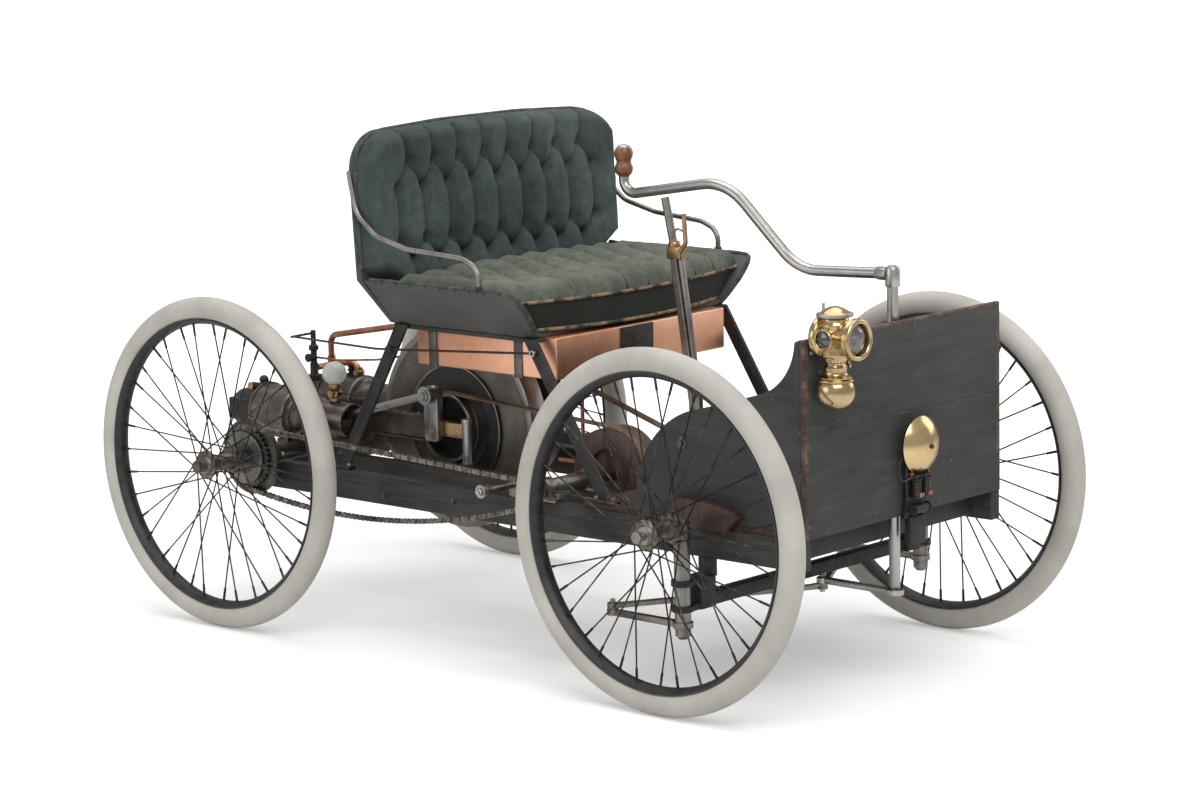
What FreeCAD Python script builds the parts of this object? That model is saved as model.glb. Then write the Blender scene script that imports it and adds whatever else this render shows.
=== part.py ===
"""Light two-cylinder motor quadricycle: a timber frame on four wire wheels, an open engine at the rear,
a bench seat over the fuel tank, a tiller, chain drive on the right and a footwell box in front.

Millimetres. +Z is up, the front faces -Y and the right-hand side is -X. The origin lies on the ground,
midway between the axles and between the wheels.
"""
import FreeCAD
import Part
import math
import os

V = FreeCAD.Vector
X_AXIS = V(1, 0, 0)
Y_AXIS = V(0, 1, 0)
Z_AXIS = V(0, 0, 1)

# Wheels and axles
WHEEL_R = 355.6
TYRE_R = 25.0
RIM_SINK = 5.4
RIM_SEAT_R = WHEEL_R - 2 * TYRE_R + RIM_SINK
RIM_DEPTH = 14.0
TRACK = 908.0
WHEELBASE = 1235.0
SPOKES = 36
SPOKE_W = 3.2
HUB_FLANGE_R = 31.0
HUB_OUT = 38.0
HUB_IN = 48.0
HUB_NUT_END = 60.0
FRONT_STUB_R = 9.0
REAR_AXLE_R = 13.0
RUN_FIT = 0.05
AXLE_ROOM = 6.0
SEAT_GAP = 0.3

# Timber frame
RAIL_OUT = 318.0
RAIL_W = 28.0
RAIL_BOTTOM = 285.0
RAIL_H = 60.0
RAIL_REAR = 700.0
RAIL_FRONT = -862.0
SILL_X = 170.0
SILL_W = 30.0
SILL_FRONT = -300.0
CROSS_W = 36.0
CROSS_H = 44.0

# Footwell box
BOX_SET_IN = 5.0
BOX_HALF_W = RAIL_OUT - BOX_SET_IN
BOX_FRONT = -867.0
BOX_T = 12.0
BOX_TOP = 727.0
FLOOR_T = 12.0
FLOOR_BACK = -306.0
BRACKET_L = 170.0
BRACKET_LEAD = 19.5
BOX_BACK = -446.0

# Engine
CRANK_Y = 266.0
CRANK_Z = 417.0
THROW = 78.0
CYL_RIGHT_X = -170.0
CYL_SPACING = 200.0
SLEEVE_R = 38.0
BORE_R = 32.0
JACKET_R = 58.0
MOUTH_Y = 492.0
JACKET_FRONT = 655.0
JACKET_BACK = 752.0
HEAD_BACK = 842.0
ROD_L = 290.0
ARM_T = 18.0
ARM_W = 40.0
SHAFT_R = 11.0
FLY_R = 220.0
FLY_X = -80.0
FLY_T = 50.0
FLY_ROOM = 8.0
DRUM_R = 132.0
DRUM_T = 8.0
STEP_R = 100.0
STEP_T = 3.0
RING_R = 73.0
RING_T = 21.0
RING_WALL = 6.0
FAST_PULLEY_R = 140.0
FAST_X = 95.0
SLOW_X = -101.5
BELT_W = 20.0
BELT_T = 4.0

PLATE_T = 8.0
RIGHT_PLATE_X = -140.0
FLANGE_OUT = 14.0
FLANGE_T = 4.0
LEFT_PLATE_X = 60.0
VALVE_X = -62.0
VALVE_Y = 722.0
OILER_Y = 545.0
OIL_TUBE_X = -136.0
OIL_TUBE_Y = 182.0
OIL_TUBE_R = 10.5

# Countershaft and chain
SHAFT2_Y = -196.0
SHAFT2_Z = 368.0
SHAFT2_R = 13.0
SLOW_DRUM_R = 95.0
FAST_DRUM_R = 50.0
CHAIN_X = -366.0
CHAIN_W = 12.0
CHAIN_H = 9.0
CHAIN_PITCH = 25.4
LINK_WAIST = 1.6
SPROCKET_R = 66.0
PINION_R = 27.0
TOOTH_GAP = 1.5
CHAIN_SAG = 50.0

# Seat and tank
SEAT_LOW = 668.0
SEAT_BASE_T = 12.0
SEAT_HALF_LOW = 290.0
SEAT_HALF_TOP = 378.0
SEAT_SIDE_TOP = 766.0
SEAT_FRONT = -163.0
SEAT_BACK = 232.0
BACK_TOP = 1078.0
BACK_T = 14.0
BACK_LEAN = 24.0
BACK_CORNER_R = 85.0
BACK_ARCH = 8.0
CUSHION_TOP = 778.0
TANK_FRONT = -195.0
TANK_BACK = 196.0
TANK_LOW = 582.0
ARM_ROD_R = 5.5
LEG_SET_IN = 18.0
LEG_X = RAIL_OUT - LEG_SET_IN
LEG_T = 8.0
LEG_W = 34.0
TANK_SIDE_ROOM = 38.0
TANK_HALF_W = LEG_X - TANK_SIDE_ROOM
REAR_LEG_RUN = 190.0
FRONT_LEG_RUN = 196.0
ROD_R = 2.5

# Steering
POST_Y = -838.0
POST_R = 11.0
POST_ROOM = 5.0
GRIP_LOW = 967.0
GRIP_H = 62.0
COLLAR_H = 18.0
COLLAR_RISE = 47.0
COLLAR_DROP = 37.0
POST_TOP = 815.0
TILLER_KNEE_Y = -607.0
TILLER_CREST_Y = -425.0
TILLER_CREST_Z = 972.0
TILLER_END = -153.0
TILLER_END_Z = 929.0
KNEE_R = 120.0
CREST_R = 130.0
END_R = 28.0
KING_X = 380.0
KING_R = 16.0
STEER_ARM = 180.0
ARM_PLATE = 12.0
STUD_R = 5.0
EYE_FIT = 0.5
KING_LOW = 158.0
BEAM_LOW = 190.0
BEAM = 26.0

# Lamp, bell and lever
LAMP_X = -270.0
LAMP_Y = -908.0
LAMP_Z = 738.0
BELL_X = 22.0
BELL_Z = 482.0
BELL_R = 57.0
BELL_DEPTH = 25.0
LEVER_X = -12.0
LEVER_T = 12.0
LEVER_W = 30.0
LEVER_KNEE_Z = 518.0
LEVER_JAW_Z = 822.0
LEVER_TOP_Z = 932.0

WHEEL_X = TRACK / 2
AXLE_Y = WHEELBASE / 2


def box(x0, x1, y0, y1, z0, z1):
    return Part.makeBox(x1 - x0, y1 - y0, z1 - z0, V(x0, y0, z0))


def along_x(x0, x1, y, z, r):
    return Part.makeCylinder(r, x1 - x0, V(x0, y, z), X_AXIS)


def along_y(x, y0, y1, z, r):
    return Part.makeCylinder(r, y1 - y0, V(x, y0, z), Y_AXIS)


def along_z(x, y, z0, z1, r):
    return Part.makeCylinder(r, z1 - z0, V(x, y, z0), Z_AXIS)


def joined(shapes):
    whole = shapes[0].multiFuse(shapes[1:])
    return whole.removeSplitter()


def polygon(points):
    return Part.Face(Part.makePolygon(points + [points[0]]))


def plate_yz(points, x0, x1):
    """A flat plate from an outline of (y, z) points, between two values of x."""
    return polygon([V(x0, y, z) for y, z in points]).extrude(V(x1 - x0, 0, 0))


def turned_x(profile, y, z):
    """A turned piece about an axis along X, from a profile of (x, radius) points."""
    face = polygon([V(x, y, z + r) for x, r in profile])
    return face.revolve(V(0, y, z), X_AXIS, 360)


def turned_y(profile, x, z):
    face = polygon([V(x, y, z + r) for y, r in profile])
    return face.revolve(V(x, 0, z), Y_AXIS, 360)


def turned_z(profile, x, y):
    face = polygon([V(x + r, y, z) for r, z in profile])
    return face.revolve(V(x, y, 0), Z_AXIS, 360)


def bar(start, end, width, depth):
    """A straight square-cornered bar between two points."""
    run = end - start
    half_w = width / 2
    half_d = depth / 2
    corners = [V(-half_w, -half_d, 0), V(half_w, -half_d, 0), V(half_w, half_d, 0), V(-half_w, half_d, 0)]
    piece = polygon(corners).extrude(V(0, 0, run.Length))
    piece.Placement = FreeCAD.Placement(start, FreeCAD.Rotation(Z_AXIS, run))
    return piece


def bent_rod(points, radius, bends):
    """A round rod along straight runs joined by tangent arcs; bends holds one radius for each corner."""
    edges = []
    last = points[0]
    corners = len(points) - 2
    for k in range(corners):
        before, corner, after = points[k:k + 3]
        inward = (before - corner).normalize()
        outward = (after - corner).normalize()
        half = inward.getAngle(outward) / 2
        room_in = (before - corner).Length * (0.9 if k == 0 else 0.45)
        room_out = (after - corner).Length * (0.9 if k == corners - 1 else 0.45)
        reach = min(bends[k] / math.tan(half), room_in, room_out)
        arc_r = reach * math.tan(half)
        start = corner + inward * reach
        end = corner + outward * reach
        middle = (inward + outward).normalize()
        top = corner + middle * (arc_r / math.sin(half) - arc_r)
        edges.append(Part.LineSegment(last, start).toShape())
        edges.append(Part.Arc(start, top, end).toShape())
        last = end
    edges.append(Part.LineSegment(last, points[-1]).toShape())
    path = Part.Wire(edges)
    ring = Part.Wire(Part.makeCircle(radius, points[0], points[1] - points[0]))
    return path.makePipeShell([ring], True, True)


def mirrored(shape):
    return shape.mirror(V(0, 0, 0), X_AXIS)


def both_sides(shape):
    return Part.makeCompound(shape.Solids + mirrored(shape).Solids)


# Wheels

def tyre():
    """One tyre about X, flat where it sits on the rim."""
    centre = WHEEL_R - TYRE_R
    drop = centre - RIM_SEAT_R
    half = math.sqrt(TYRE_R ** 2 - drop ** 2)
    crown = Part.Arc(V(-half, 0, RIM_SEAT_R), V(0, 0, WHEEL_R), V(half, 0, RIM_SEAT_R)).toShape()
    seat = Part.LineSegment(V(half, 0, RIM_SEAT_R), V(-half, 0, RIM_SEAT_R)).toShape()
    return Part.Face(Part.Wire([crown, seat])).revolve(V(0, 0, 0), X_AXIS, 360)


def spoke(number):
    """One tangent spoke; pairs lean forwards and backwards, on alternate flanges."""
    outer = number % 2 == 0
    lean = 1 if number % 4 < 2 else -1
    rim_angle = 2 * math.pi * number / SPOKES
    hub_angle = rim_angle + lean * math.radians(62)
    flange = HUB_OUT if outer else -HUB_IN
    hub_r = HUB_FLANGE_R - 5
    rim_r = RIM_SEAT_R - RIM_DEPTH + 2
    start = V(flange + lean * 2.2, hub_r * math.cos(hub_angle), hub_r * math.sin(hub_angle))
    end = V(3 if outer else -3, rim_r * math.cos(rim_angle), rim_r * math.sin(rim_angle))
    return bar(start, end, SPOKE_W, SPOKE_W)


def wire_wheel(bore_r):
    """Rim, tangent spokes and flanged hub about X, with the outboard side towards +X."""
    inner = RIM_SEAT_R - RIM_DEPTH
    rim = turned_x([(-16, RIM_SEAT_R), (-16, RIM_SEAT_R - 6), (-9, inner), (9, inner),
                    (16, RIM_SEAT_R - 6), (16, RIM_SEAT_R)], 0, 0)
    hub = turned_x([(-HUB_IN - 3, bore_r), (-HUB_IN - 3, HUB_FLANGE_R), (-HUB_IN + 3, HUB_FLANGE_R),
                    (-HUB_IN + 8, 18), (HUB_OUT - 8, 18), (HUB_OUT - 3, HUB_FLANGE_R),
                    (HUB_OUT + 3, HUB_FLANGE_R), (HUB_OUT + 5, 17), (HUB_OUT + 12, 17),
                    (HUB_OUT + 12, bore_r)], 0, 0)
    return joined([hub, rim] + [spoke(number) for number in range(SPOKES)])


def placed_wheel(shape, side, y):
    """Puts a wheel built outboard towards +X at one corner of the car."""
    piece = shape.copy()
    if side < 0:
        piece.rotate(V(0, 0, 0), Z_AXIS, 180)
    piece.translate(V(side * WHEEL_X, y, WHEEL_R))
    return piece


def axle_nut(side, y):
    """Hexagon nut outside a hub."""
    start = WHEEL_X + HUB_OUT + 12
    end = WHEEL_X + HUB_NUT_END
    nut = Part.makePolygon([V(start, y + 13 * math.cos(a), WHEEL_R + 13 * math.sin(a))
                            for a in [math.pi / 3 * k for k in range(7)]])
    piece = Part.Face(nut).extrude(V(end - start, 0, 0))
    return piece if side > 0 else mirrored(piece)


# Frame

def side_rail():
    """Timber side rail of the left-hand side, with its iron fork at the front."""
    top = RAIL_BOTTOM + RAIL_H
    rail = box(RAIL_OUT - RAIL_W, RAIL_OUT, RAIL_FRONT, RAIL_REAR, RAIL_BOTTOM, top)
    return rail.cut(axle_notch())


def axle_notch():
    """Room for the turning rear axle in the top of a rail or sill."""
    return along_x(0, RAIL_OUT + 1, AXLE_Y, WHEEL_R, REAR_AXLE_R + AXLE_ROOM)


def sill():
    """Inner timber of the left-hand side, which carries the engine; it ends at the rear cross bar."""
    top = RAIL_BOTTOM + RAIL_H
    rear = RAIL_REAR - CROSS_W
    timber = box(SILL_X - SILL_W / 2, SILL_X + SILL_W / 2, SILL_FRONT, rear, RAIL_BOTTOM, top)
    return timber.cut(axle_notch())


def cross_bars():
    """Cross members between the rails: rear one under the sills' ends, one in the middle, one in front."""
    inner = RAIL_OUT - RAIL_W
    bars = []
    for y in (RAIL_REAR - CROSS_W, SILL_FRONT - CROSS_W, RAIL_FRONT + 50):
        bars.append(box(-inner, inner, y, y + CROSS_W, RAIL_BOTTOM + 6, RAIL_BOTTOM + 6 + CROSS_H))
    return Part.makeCompound(bars)


def floor_board():
    low = RAIL_BOTTOM + RAIL_H
    board = box(-BOX_HALF_W, BOX_HALF_W, BOX_FRONT + BOX_T, FLOOR_BACK, low, low + FLOOR_T)
    return board.cut(along_z(0, POST_Y, low - 1, low + FLOOR_T + 1, POST_R + POST_ROOM))


def side_panel():
    """Left side of the footwell box; its rear edge curves up in three sweeps."""
    low = RAIL_BOTTOM + RAIL_H + FLOOR_T
    front = BOX_FRONT + BOX_T
    points = [V(0, front, low), V(0, BOX_BACK, low), V(0, BOX_BACK, 415)]
    edges = [Part.LineSegment(points[0], points[1]).toShape(),
             Part.LineSegment(points[1], points[2]).toShape()]
    curve = [V(0, BOX_BACK, 415), V(0, -504, 519), V(0, -609, 573)]
    edges.append(Part.Arc(curve[0], curve[1], curve[2]).toShape())
    edges.append(Part.LineSegment(V(0, -609, 573), V(0, -762, 616)).toShape())
    edges.append(Part.Arc(V(0, -762, 616), V(0, -822, 660), V(0, -844, 722)).toShape())
    edges.append(Part.LineSegment(V(0, -844, 722), V(0, front, BOX_TOP)).toShape())
    edges.append(Part.LineSegment(V(0, front, BOX_TOP), points[0]).toShape())
    face = Part.Face(Part.Wire(edges))
    face.translate(V(BOX_HALF_W - BOX_T, 0, 0))
    return face.extrude(V(BOX_T, 0, 0))


def front_panel():
    low = RAIL_BOTTOM + RAIL_H
    return box(-BOX_HALF_W, BOX_HALF_W, BOX_FRONT, BOX_FRONT + BOX_T, low, BOX_TOP)


# Seat

def flared(y, z):
    """Point on the outer face of the left side board, which leans outwards."""
    share = (z - SEAT_LOW) / (SEAT_SIDE_TOP - SEAT_LOW)
    return V(SEAT_HALF_LOW + share * (SEAT_HALF_TOP - SEAT_HALF_LOW), y, z)


def seat_tray():
    """Base board with flared side boards, open at the front; their front ends bulge forwards."""
    base = box(-SEAT_HALF_LOW, SEAT_HALF_LOW, SEAT_FRONT, SEAT_BACK, SEAT_LOW, SEAT_LOW + SEAT_BASE_T)
    nose = Part.Arc(flared(SEAT_FRONT, SEAT_LOW), flared(SEAT_FRONT - 13, SEAT_LOW + 36),
                    flared(SEAT_FRONT - 19, SEAT_SIDE_TOP - 26)).toShape()
    corner = Part.Arc(flared(SEAT_FRONT - 19, SEAT_SIDE_TOP - 26), flared(SEAT_FRONT - 15, SEAT_SIDE_TOP - 7),
                      flared(SEAT_FRONT, SEAT_SIDE_TOP)).toShape()
    edges = [nose, corner,
             Part.LineSegment(flared(SEAT_FRONT, SEAT_SIDE_TOP), flared(SEAT_BACK, SEAT_SIDE_TOP)).toShape(),
             Part.LineSegment(flared(SEAT_BACK, SEAT_SIDE_TOP), flared(SEAT_BACK, SEAT_LOW)).toShape(),
             Part.LineSegment(flared(SEAT_BACK, SEAT_LOW), flared(SEAT_FRONT, SEAT_LOW)).toShape()]
    side = Part.Face(Part.Wire(edges)).extrude(V(-BACK_T, 0, 0))
    return joined([base, side, mirrored(side)])


def lean_at(z):
    return BACK_LEAN * (z - SEAT_LOW) / (BACK_TOP - SEAT_LOW)


def back_outline(y, half, low, top, corner, side_low):
    """Outline of the seat back in a plane of constant y: narrow foot, flared sides, arched top with
    round corners."""
    half_low = SEAT_HALF_LOW - (SEAT_HALF_TOP - half)
    cut = corner * (1 - math.sqrt(0.5))
    shoulder = top - BACK_ARCH
    edges = [Part.LineSegment(V(-half_low, y, low), V(half_low, y, low)).toShape(),
             Part.LineSegment(V(half_low, y, low), V(half, y, side_low)).toShape(),
             Part.LineSegment(V(half, y, side_low), V(half, y, shoulder - corner)).toShape(),
             Part.Arc(V(half, y, shoulder - corner), V(half - cut, y, shoulder - cut),
                      V(half - corner, y, shoulder)).toShape(),
             Part.Arc(V(half - corner, y, shoulder), V(0, y, top), V(corner - half, y, shoulder)).toShape(),
             Part.Arc(V(corner - half, y, shoulder), V(cut - half, y, shoulder - cut),
                      V(-half, y, shoulder - corner)).toShape(),
             Part.LineSegment(V(-half, y, shoulder - corner), V(-half, y, side_low)).toShape(),
             Part.LineSegment(V(-half, y, side_low), V(-half_low, y, low)).toShape()]
    return Part.Face(Part.Wire(edges))


def leaned(shape):
    angle = math.degrees(math.atan(BACK_LEAN / (BACK_TOP - SEAT_LOW)))
    piece = shape.copy()
    piece.rotate(V(0, SEAT_BACK, SEAT_LOW), X_AXIS, -angle)
    return piece


def seat_back_board():
    face = back_outline(SEAT_BACK + SEAT_GAP, SEAT_HALF_TOP, SEAT_LOW, BACK_TOP, BACK_CORNER_R,
                        SEAT_SIDE_TOP)
    return leaned(face.extrude(V(0, BACK_T, 0)))


def seat_cushion():
    """Plain form of the seat cushion, between the flared sides."""
    low = SEAT_LOW + SEAT_BASE_T + SEAT_GAP
    flare = (SEAT_HALF_TOP - SEAT_HALF_LOW) / (SEAT_SIDE_TOP - SEAT_LOW)
    half_low = SEAT_HALF_LOW - BACK_T - 3 + flare * SEAT_BASE_T
    front_top = 734.0
    half_mid = half_low + flare * (front_top - low)
    half_top = half_low + flare * (CUSHION_TOP - low) - 4
    front = SEAT_FRONT + 3
    back = SEAT_BACK - 62
    section = [V(-half_low, front, low), V(half_low, front, low), V(half_mid, front, front_top),
               V(half_top - 30, front, CUSHION_TOP - 8), V(0, front, CUSHION_TOP),
               V(-half_top + 30, front, CUSHION_TOP - 8), V(-half_mid, front, front_top)]
    body = polygon(section).extrude(V(0, back - front, 0))
    nose = polygon([V(-SEAT_HALF_TOP, front - 1, front_top), V(-SEAT_HALF_TOP, front - 1, CUSHION_TOP + 1),
                    V(-SEAT_HALF_TOP, front + 60, CUSHION_TOP + 1)]).extrude(V(2 * SEAT_HALF_TOP, 0, 0))
    return body.cut(nose)


def back_cushion():
    """Plain form of the back cushion; it spans the board and rests on the side boards' top edges."""
    low = CUSHION_TOP - 44
    thick = 58.0
    half = SEAT_HALF_TOP - 3
    face = back_outline(SEAT_BACK - thick, half, low, BACK_TOP - 4, BACK_CORNER_R, CUSHION_TOP + 14)
    return leaned(face.extrude(V(0, thick - SEAT_GAP, 0)))


def arm_rail():
    """Left arm rail: bent iron rod from the seat back's edge down to the side board's front."""
    x = SEAT_HALF_TOP - BACK_T / 2
    side = SEAT_HALF_TOP + ARM_ROD_R + SEAT_GAP
    start_z = BACK_TOP - 93
    start_y = SEAT_BACK + lean_at(start_z) + BACK_T / 2
    foot_y = SEAT_FRONT + 73
    points = [V(side, start_y, start_z), V(side, start_y - 18, start_z - 80),
              V(side, start_y - 70, start_z - 123),
              V(side, start_y - 160, start_z - 145), V(x, foot_y + 45, SEAT_SIDE_TOP + 64),
              V(x, foot_y, SEAT_SIDE_TOP + 46), V(x, foot_y, SEAT_SIDE_TOP)]
    rod = bent_rod(points, ARM_ROD_R, [60] * 5)
    socket = along_z(x, foot_y, SEAT_SIDE_TOP, SEAT_SIDE_TOP + 10, 8)
    return joined([rod, socket])


def leg(top_y, foot_y, top_z, low):
    """Flat iron leg of the left side, from the seat base down to the rail or the floor."""
    half = LEG_W / 2
    outline = [(top_y - half, top_z), (top_y + half, top_z), (foot_y + half, low), (foot_y - half, low)]
    strap = plate_yz(outline, LEG_X - LEG_T, LEG_X)
    foot = box(LEG_X - 10, LEG_X + 12, foot_y - 32, foot_y + 32, low, low + 7)
    head = box(TANK_HALF_W + 4, LEG_X, top_y - half, top_y + half, top_z - 7, top_z)
    return joined([strap, foot, head])


def seat_legs():
    """Front and rear leg of the left side."""
    rail_top = RAIL_BOTTOM + RAIL_H
    rear_top = SEAT_BACK - 27
    front_top = SEAT_FRONT + 7
    rear = leg(rear_top, rear_top + REAR_LEG_RUN, SEAT_LOW, rail_top)
    front = leg(front_top, front_top - FRONT_LEG_RUN, SEAT_LOW, rail_top + FLOOR_T)
    return Part.makeCompound([rear, front])


def fuel_tank():
    """Copper tank under the seat, with a well in its underside for the flywheel."""
    tank = box(-TANK_HALF_W, TANK_HALF_W, TANK_FRONT, TANK_BACK, TANK_LOW, SEAT_LOW - SEAT_GAP)
    return tank.cut(flywheel_well())


def flywheel_well():
    return along_x(FLY_X - FLY_ROOM, FLY_X + FLY_T + FLY_ROOM, CRANK_Y, CRANK_Z, FLY_R + FLY_ROOM)


def tank_straps():
    """Two hangers that go under the tank, cut by the flywheel's well, and a plate at its front."""
    straps = []
    low = TANK_LOW - 3
    for y in (150, -91):
        outer = box(-TANK_HALF_W - 3, TANK_HALF_W + 3, y - 11, y + 11, low, SEAT_LOW)
        inner = box(-TANK_HALF_W, TANK_HALF_W, y - 11, y + 11, TANK_LOW, SEAT_LOW)
        straps.append(outer.cut(inner).cut(flywheel_well()))
    plate = box(-30, 30, TANK_FRONT - 3, TANK_FRONT, low, SEAT_LOW - 2)
    lip = box(-30, 30, TANK_FRONT - 3, TANK_FRONT + 22, low, TANK_LOW)
    return Part.makeCompound(straps + [joined([plate, lip])])


# Engine

def cylinder(x):
    """One horizontal cylinder, open at its mouth, with water jacket, head and exhaust box."""
    profile = [(MOUTH_Y, BORE_R), (MOUTH_Y, SLEEVE_R), (JACKET_FRONT - 60, SLEEVE_R), (JACKET_FRONT - 60, 44),
               (JACKET_FRONT - 4, 44), (JACKET_FRONT, JACKET_R), (JACKET_BACK, JACKET_R),
               (JACKET_BACK, JACKET_R + 4), (JACKET_BACK + 8, JACKET_R + 4), (JACKET_BACK + 8, 48),
               (HEAD_BACK - 30, 48), (HEAD_BACK - 22, 40), (HEAD_BACK, 40), (HEAD_BACK, 0),
               (JACKET_BACK, 0), (JACKET_BACK, BORE_R)]
    return turned_y(profile, x, CRANK_Z)


def cylinders():
    return Part.makeCompound([cylinder(CYL_RIGHT_X), cylinder(CYL_RIGHT_X + CYL_SPACING)])


def piston_y(pin_y, pin_z):
    return pin_y + math.sqrt(ROD_L ** 2 - (pin_z - CRANK_Z) ** 2)


def connecting_rod(x):
    """Rod with piston: from the crank pin straight above the shaft into the cylinder."""
    pin_z = CRANK_Z + THROW
    wrist = piston_y(CRANK_Y, pin_z)
    big_end = along_x(x - 10, x + 10, CRANK_Y, pin_z, 20)
    hole = along_x(x - 11, x + 11, CRANK_Y, pin_z, 9)
    run = V(0, wrist - CRANK_Y, CRANK_Z - pin_z)
    unit = V(run).normalize()
    shank = Part.makeCone(9, 8, ROD_L - 12, V(x, CRANK_Y, pin_z) + unit * 12, unit)
    piston = along_y(x, wrist - 20, wrist + 45, CRANK_Z, BORE_R)
    return joined([big_end, shank, piston]).cut(hole)


def connecting_rods():
    return Part.makeCompound([connecting_rod(CYL_RIGHT_X), connecting_rod(CYL_RIGHT_X + CYL_SPACING)])


def crank_arm(x0):
    """Flat crank arm with a round end at the pin and a square end below the shaft."""
    half = ARM_W / 2
    pin_z = CRANK_Z + THROW
    foot_z = CRANK_Z - half - 2
    cut = 6.0
    outline = [(CRANK_Y - half, pin_z), (CRANK_Y - half, foot_z + cut), (CRANK_Y - half + cut, foot_z),
               (CRANK_Y + half - cut, foot_z), (CRANK_Y + half, foot_z + cut), (CRANK_Y + half, pin_z)]
    web = plate_yz(outline, x0, x0 + ARM_T)
    return joined([web, along_x(x0, x0 + ARM_T, CRANK_Y, pin_z, half)])


def crankshaft():
    right_arm = CYL_RIGHT_X + 10.5
    left_pin = CYL_RIGHT_X + CYL_SPACING
    pieces = [crank_arm(right_arm), along_x(CYL_RIGHT_X - 12, right_arm + 1, CRANK_Y, CRANK_Z + THROW, 9),
              along_x(CYL_RIGHT_X - 20, CYL_RIGHT_X - 10.5, CRANK_Y, CRANK_Z + THROW, 13),
              along_x(right_arm + 1, left_pin - 11, CRANK_Y, CRANK_Z, SHAFT_R),
              crank_arm(left_pin - 10.5 - ARM_T), crank_arm(left_pin + 10.5),
              along_x(left_pin - 11, left_pin + 11, CRANK_Y, CRANK_Z + THROW, 9),
              along_x(left_pin + 11, SILL_X + SILL_W / 2, CRANK_Y, CRANK_Z, SHAFT_R)]
    return joined(pieces + [fast_pulley()])


def flywheel():
    """Heavy flywheel with the stepped black drum and the hollow belt pulley on its right-hand face."""
    drum_x = FLY_X - DRUM_T
    step_x = drum_x - STEP_T
    ring_x = step_x - RING_T
    back_x = FLY_X + FLY_T
    well_x = FLY_X + 2
    inner = RING_R - RING_WALL
    hub_r = 40.0
    profile = [(ring_x, RING_R), (step_x, RING_R), (step_x, STEP_R), (drum_x, STEP_R), (drum_x, DRUM_R),
               (FLY_X, DRUM_R), (FLY_X, FLY_R), (back_x, FLY_R), (back_x, hub_r), (back_x + 1, hub_r),
               (back_x + 1, SHAFT_R), (well_x, SHAFT_R), (well_x, inner), (ring_x, inner)]
    return turned_x(profile, CRANK_Y, CRANK_Z)


def fast_pulley():
    half = BELT_W / 2 + 3
    near = FAST_X - half
    far = FAST_X + half
    under = FAST_PULLEY_R - 8
    hub_r = 34.0
    profile = [(near, FAST_PULLEY_R), (far, FAST_PULLEY_R), (far, under), (FAST_X + 5, under),
               (FAST_X + 5, hub_r), (far, hub_r), (far, SHAFT_R), (near, SHAFT_R), (near, hub_r),
               (FAST_X - 5, hub_r), (FAST_X - 5, under), (near, under)]
    return turned_x(profile, CRANK_Y, CRANK_Z)


def belt(x, crank_r, shaft_r):
    """Flat belt round a crank pulley and a countershaft pulley."""
    outer = belt_loop(x, crank_r + BELT_T, shaft_r + BELT_T)
    inner = belt_loop(x, crank_r, shaft_r)
    return outer.cut(inner)


def belts():
    """Low-speed belt on the right and high-speed belt on the left."""
    slow = belt(SLOW_X, RING_R, SLOW_DRUM_R)
    fast = belt(FAST_X, FAST_PULLEY_R, FAST_DRUM_R)
    return Part.makeCompound([slow, fast])


def belt_loop(x, r1, r2):
    """Solid bounded by two circles and their outside tangents, as wide as the belt."""
    dy = SHAFT2_Y - CRANK_Y
    dz = SHAFT2_Z - CRANK_Z
    span = math.hypot(dy, dz)
    along = math.atan2(dz, dy)
    lean = math.acos((r1 - r2) / span)
    edges = []
    ends = []
    for sign in (1, -1):
        a = along + sign * lean
        p1 = V(x, CRANK_Y + r1 * math.cos(a), CRANK_Z + r1 * math.sin(a))
        p2 = V(x, SHAFT2_Y + r2 * math.cos(a), SHAFT2_Z + r2 * math.sin(a))
        ends.append((p1, p2))
        edges.append(Part.LineSegment(p1, p2).toShape())
    far1 = V(x, CRANK_Y - r1 * math.cos(along), CRANK_Z - r1 * math.sin(along))
    far2 = V(x, SHAFT2_Y + r2 * math.cos(along), SHAFT2_Z + r2 * math.sin(along))
    edges.append(Part.Arc(ends[0][0], far1, ends[1][0]).toShape())
    edges.append(Part.Arc(ends[0][1], far2, ends[1][1]).toShape())
    wire = Part.Wire(Part.__sortEdges__(edges))
    face = Part.Face(wire)
    face.translate(V(-BELT_W / 2, 0, 0))
    return face.extrude(V(BELT_W, 0, 0))


def bed_plate(x0):
    """Iron plate beside the left cylinder, from its jacket to the crank bearing, drilled for the shaft."""
    low = CRANK_Z - 45
    plate = box(x0, x0 + PLATE_T, CRANK_Y - 26, MOUTH_Y - SEAT_GAP, low, CRANK_Z + 20)
    tail = box(x0, x0 + PLATE_T, MOUTH_Y - 2, MOUTH_Y + 36, low, low + 14)
    boss = along_x(x0, x0 + PLATE_T, CRANK_Y, CRANK_Z, 30)
    bore = along_x(x0 - 1, x0 + PLATE_T + 1, CRANK_Y, CRANK_Z, SHAFT_R)
    return joined([plate, tail, boss]).cut(bore)


def bed_channel(x0):
    """Channel iron on the right: web, outward flanges and a tail that bears under the cylinder."""
    near = CRANK_Y + ARM_W / 2 + 4
    far = MOUTH_Y - SEAT_GAP
    low = CRANK_Z - 25
    top = CRANK_Z + 30
    x1 = x0 + PLATE_T
    web = box(x0, x1, near, far, low, top)
    upper = box(x0 - FLANGE_OUT, x1, near, far, top - FLANGE_T, top)
    lower = box(x0 - FLANGE_OUT, x1, near, far, low, low + FLANGE_T)
    tail = box(x0, x1, MOUTH_Y - 30, MOUTH_Y + 36, low - 20, low)
    return joined([web, upper, lower, tail])


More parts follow.
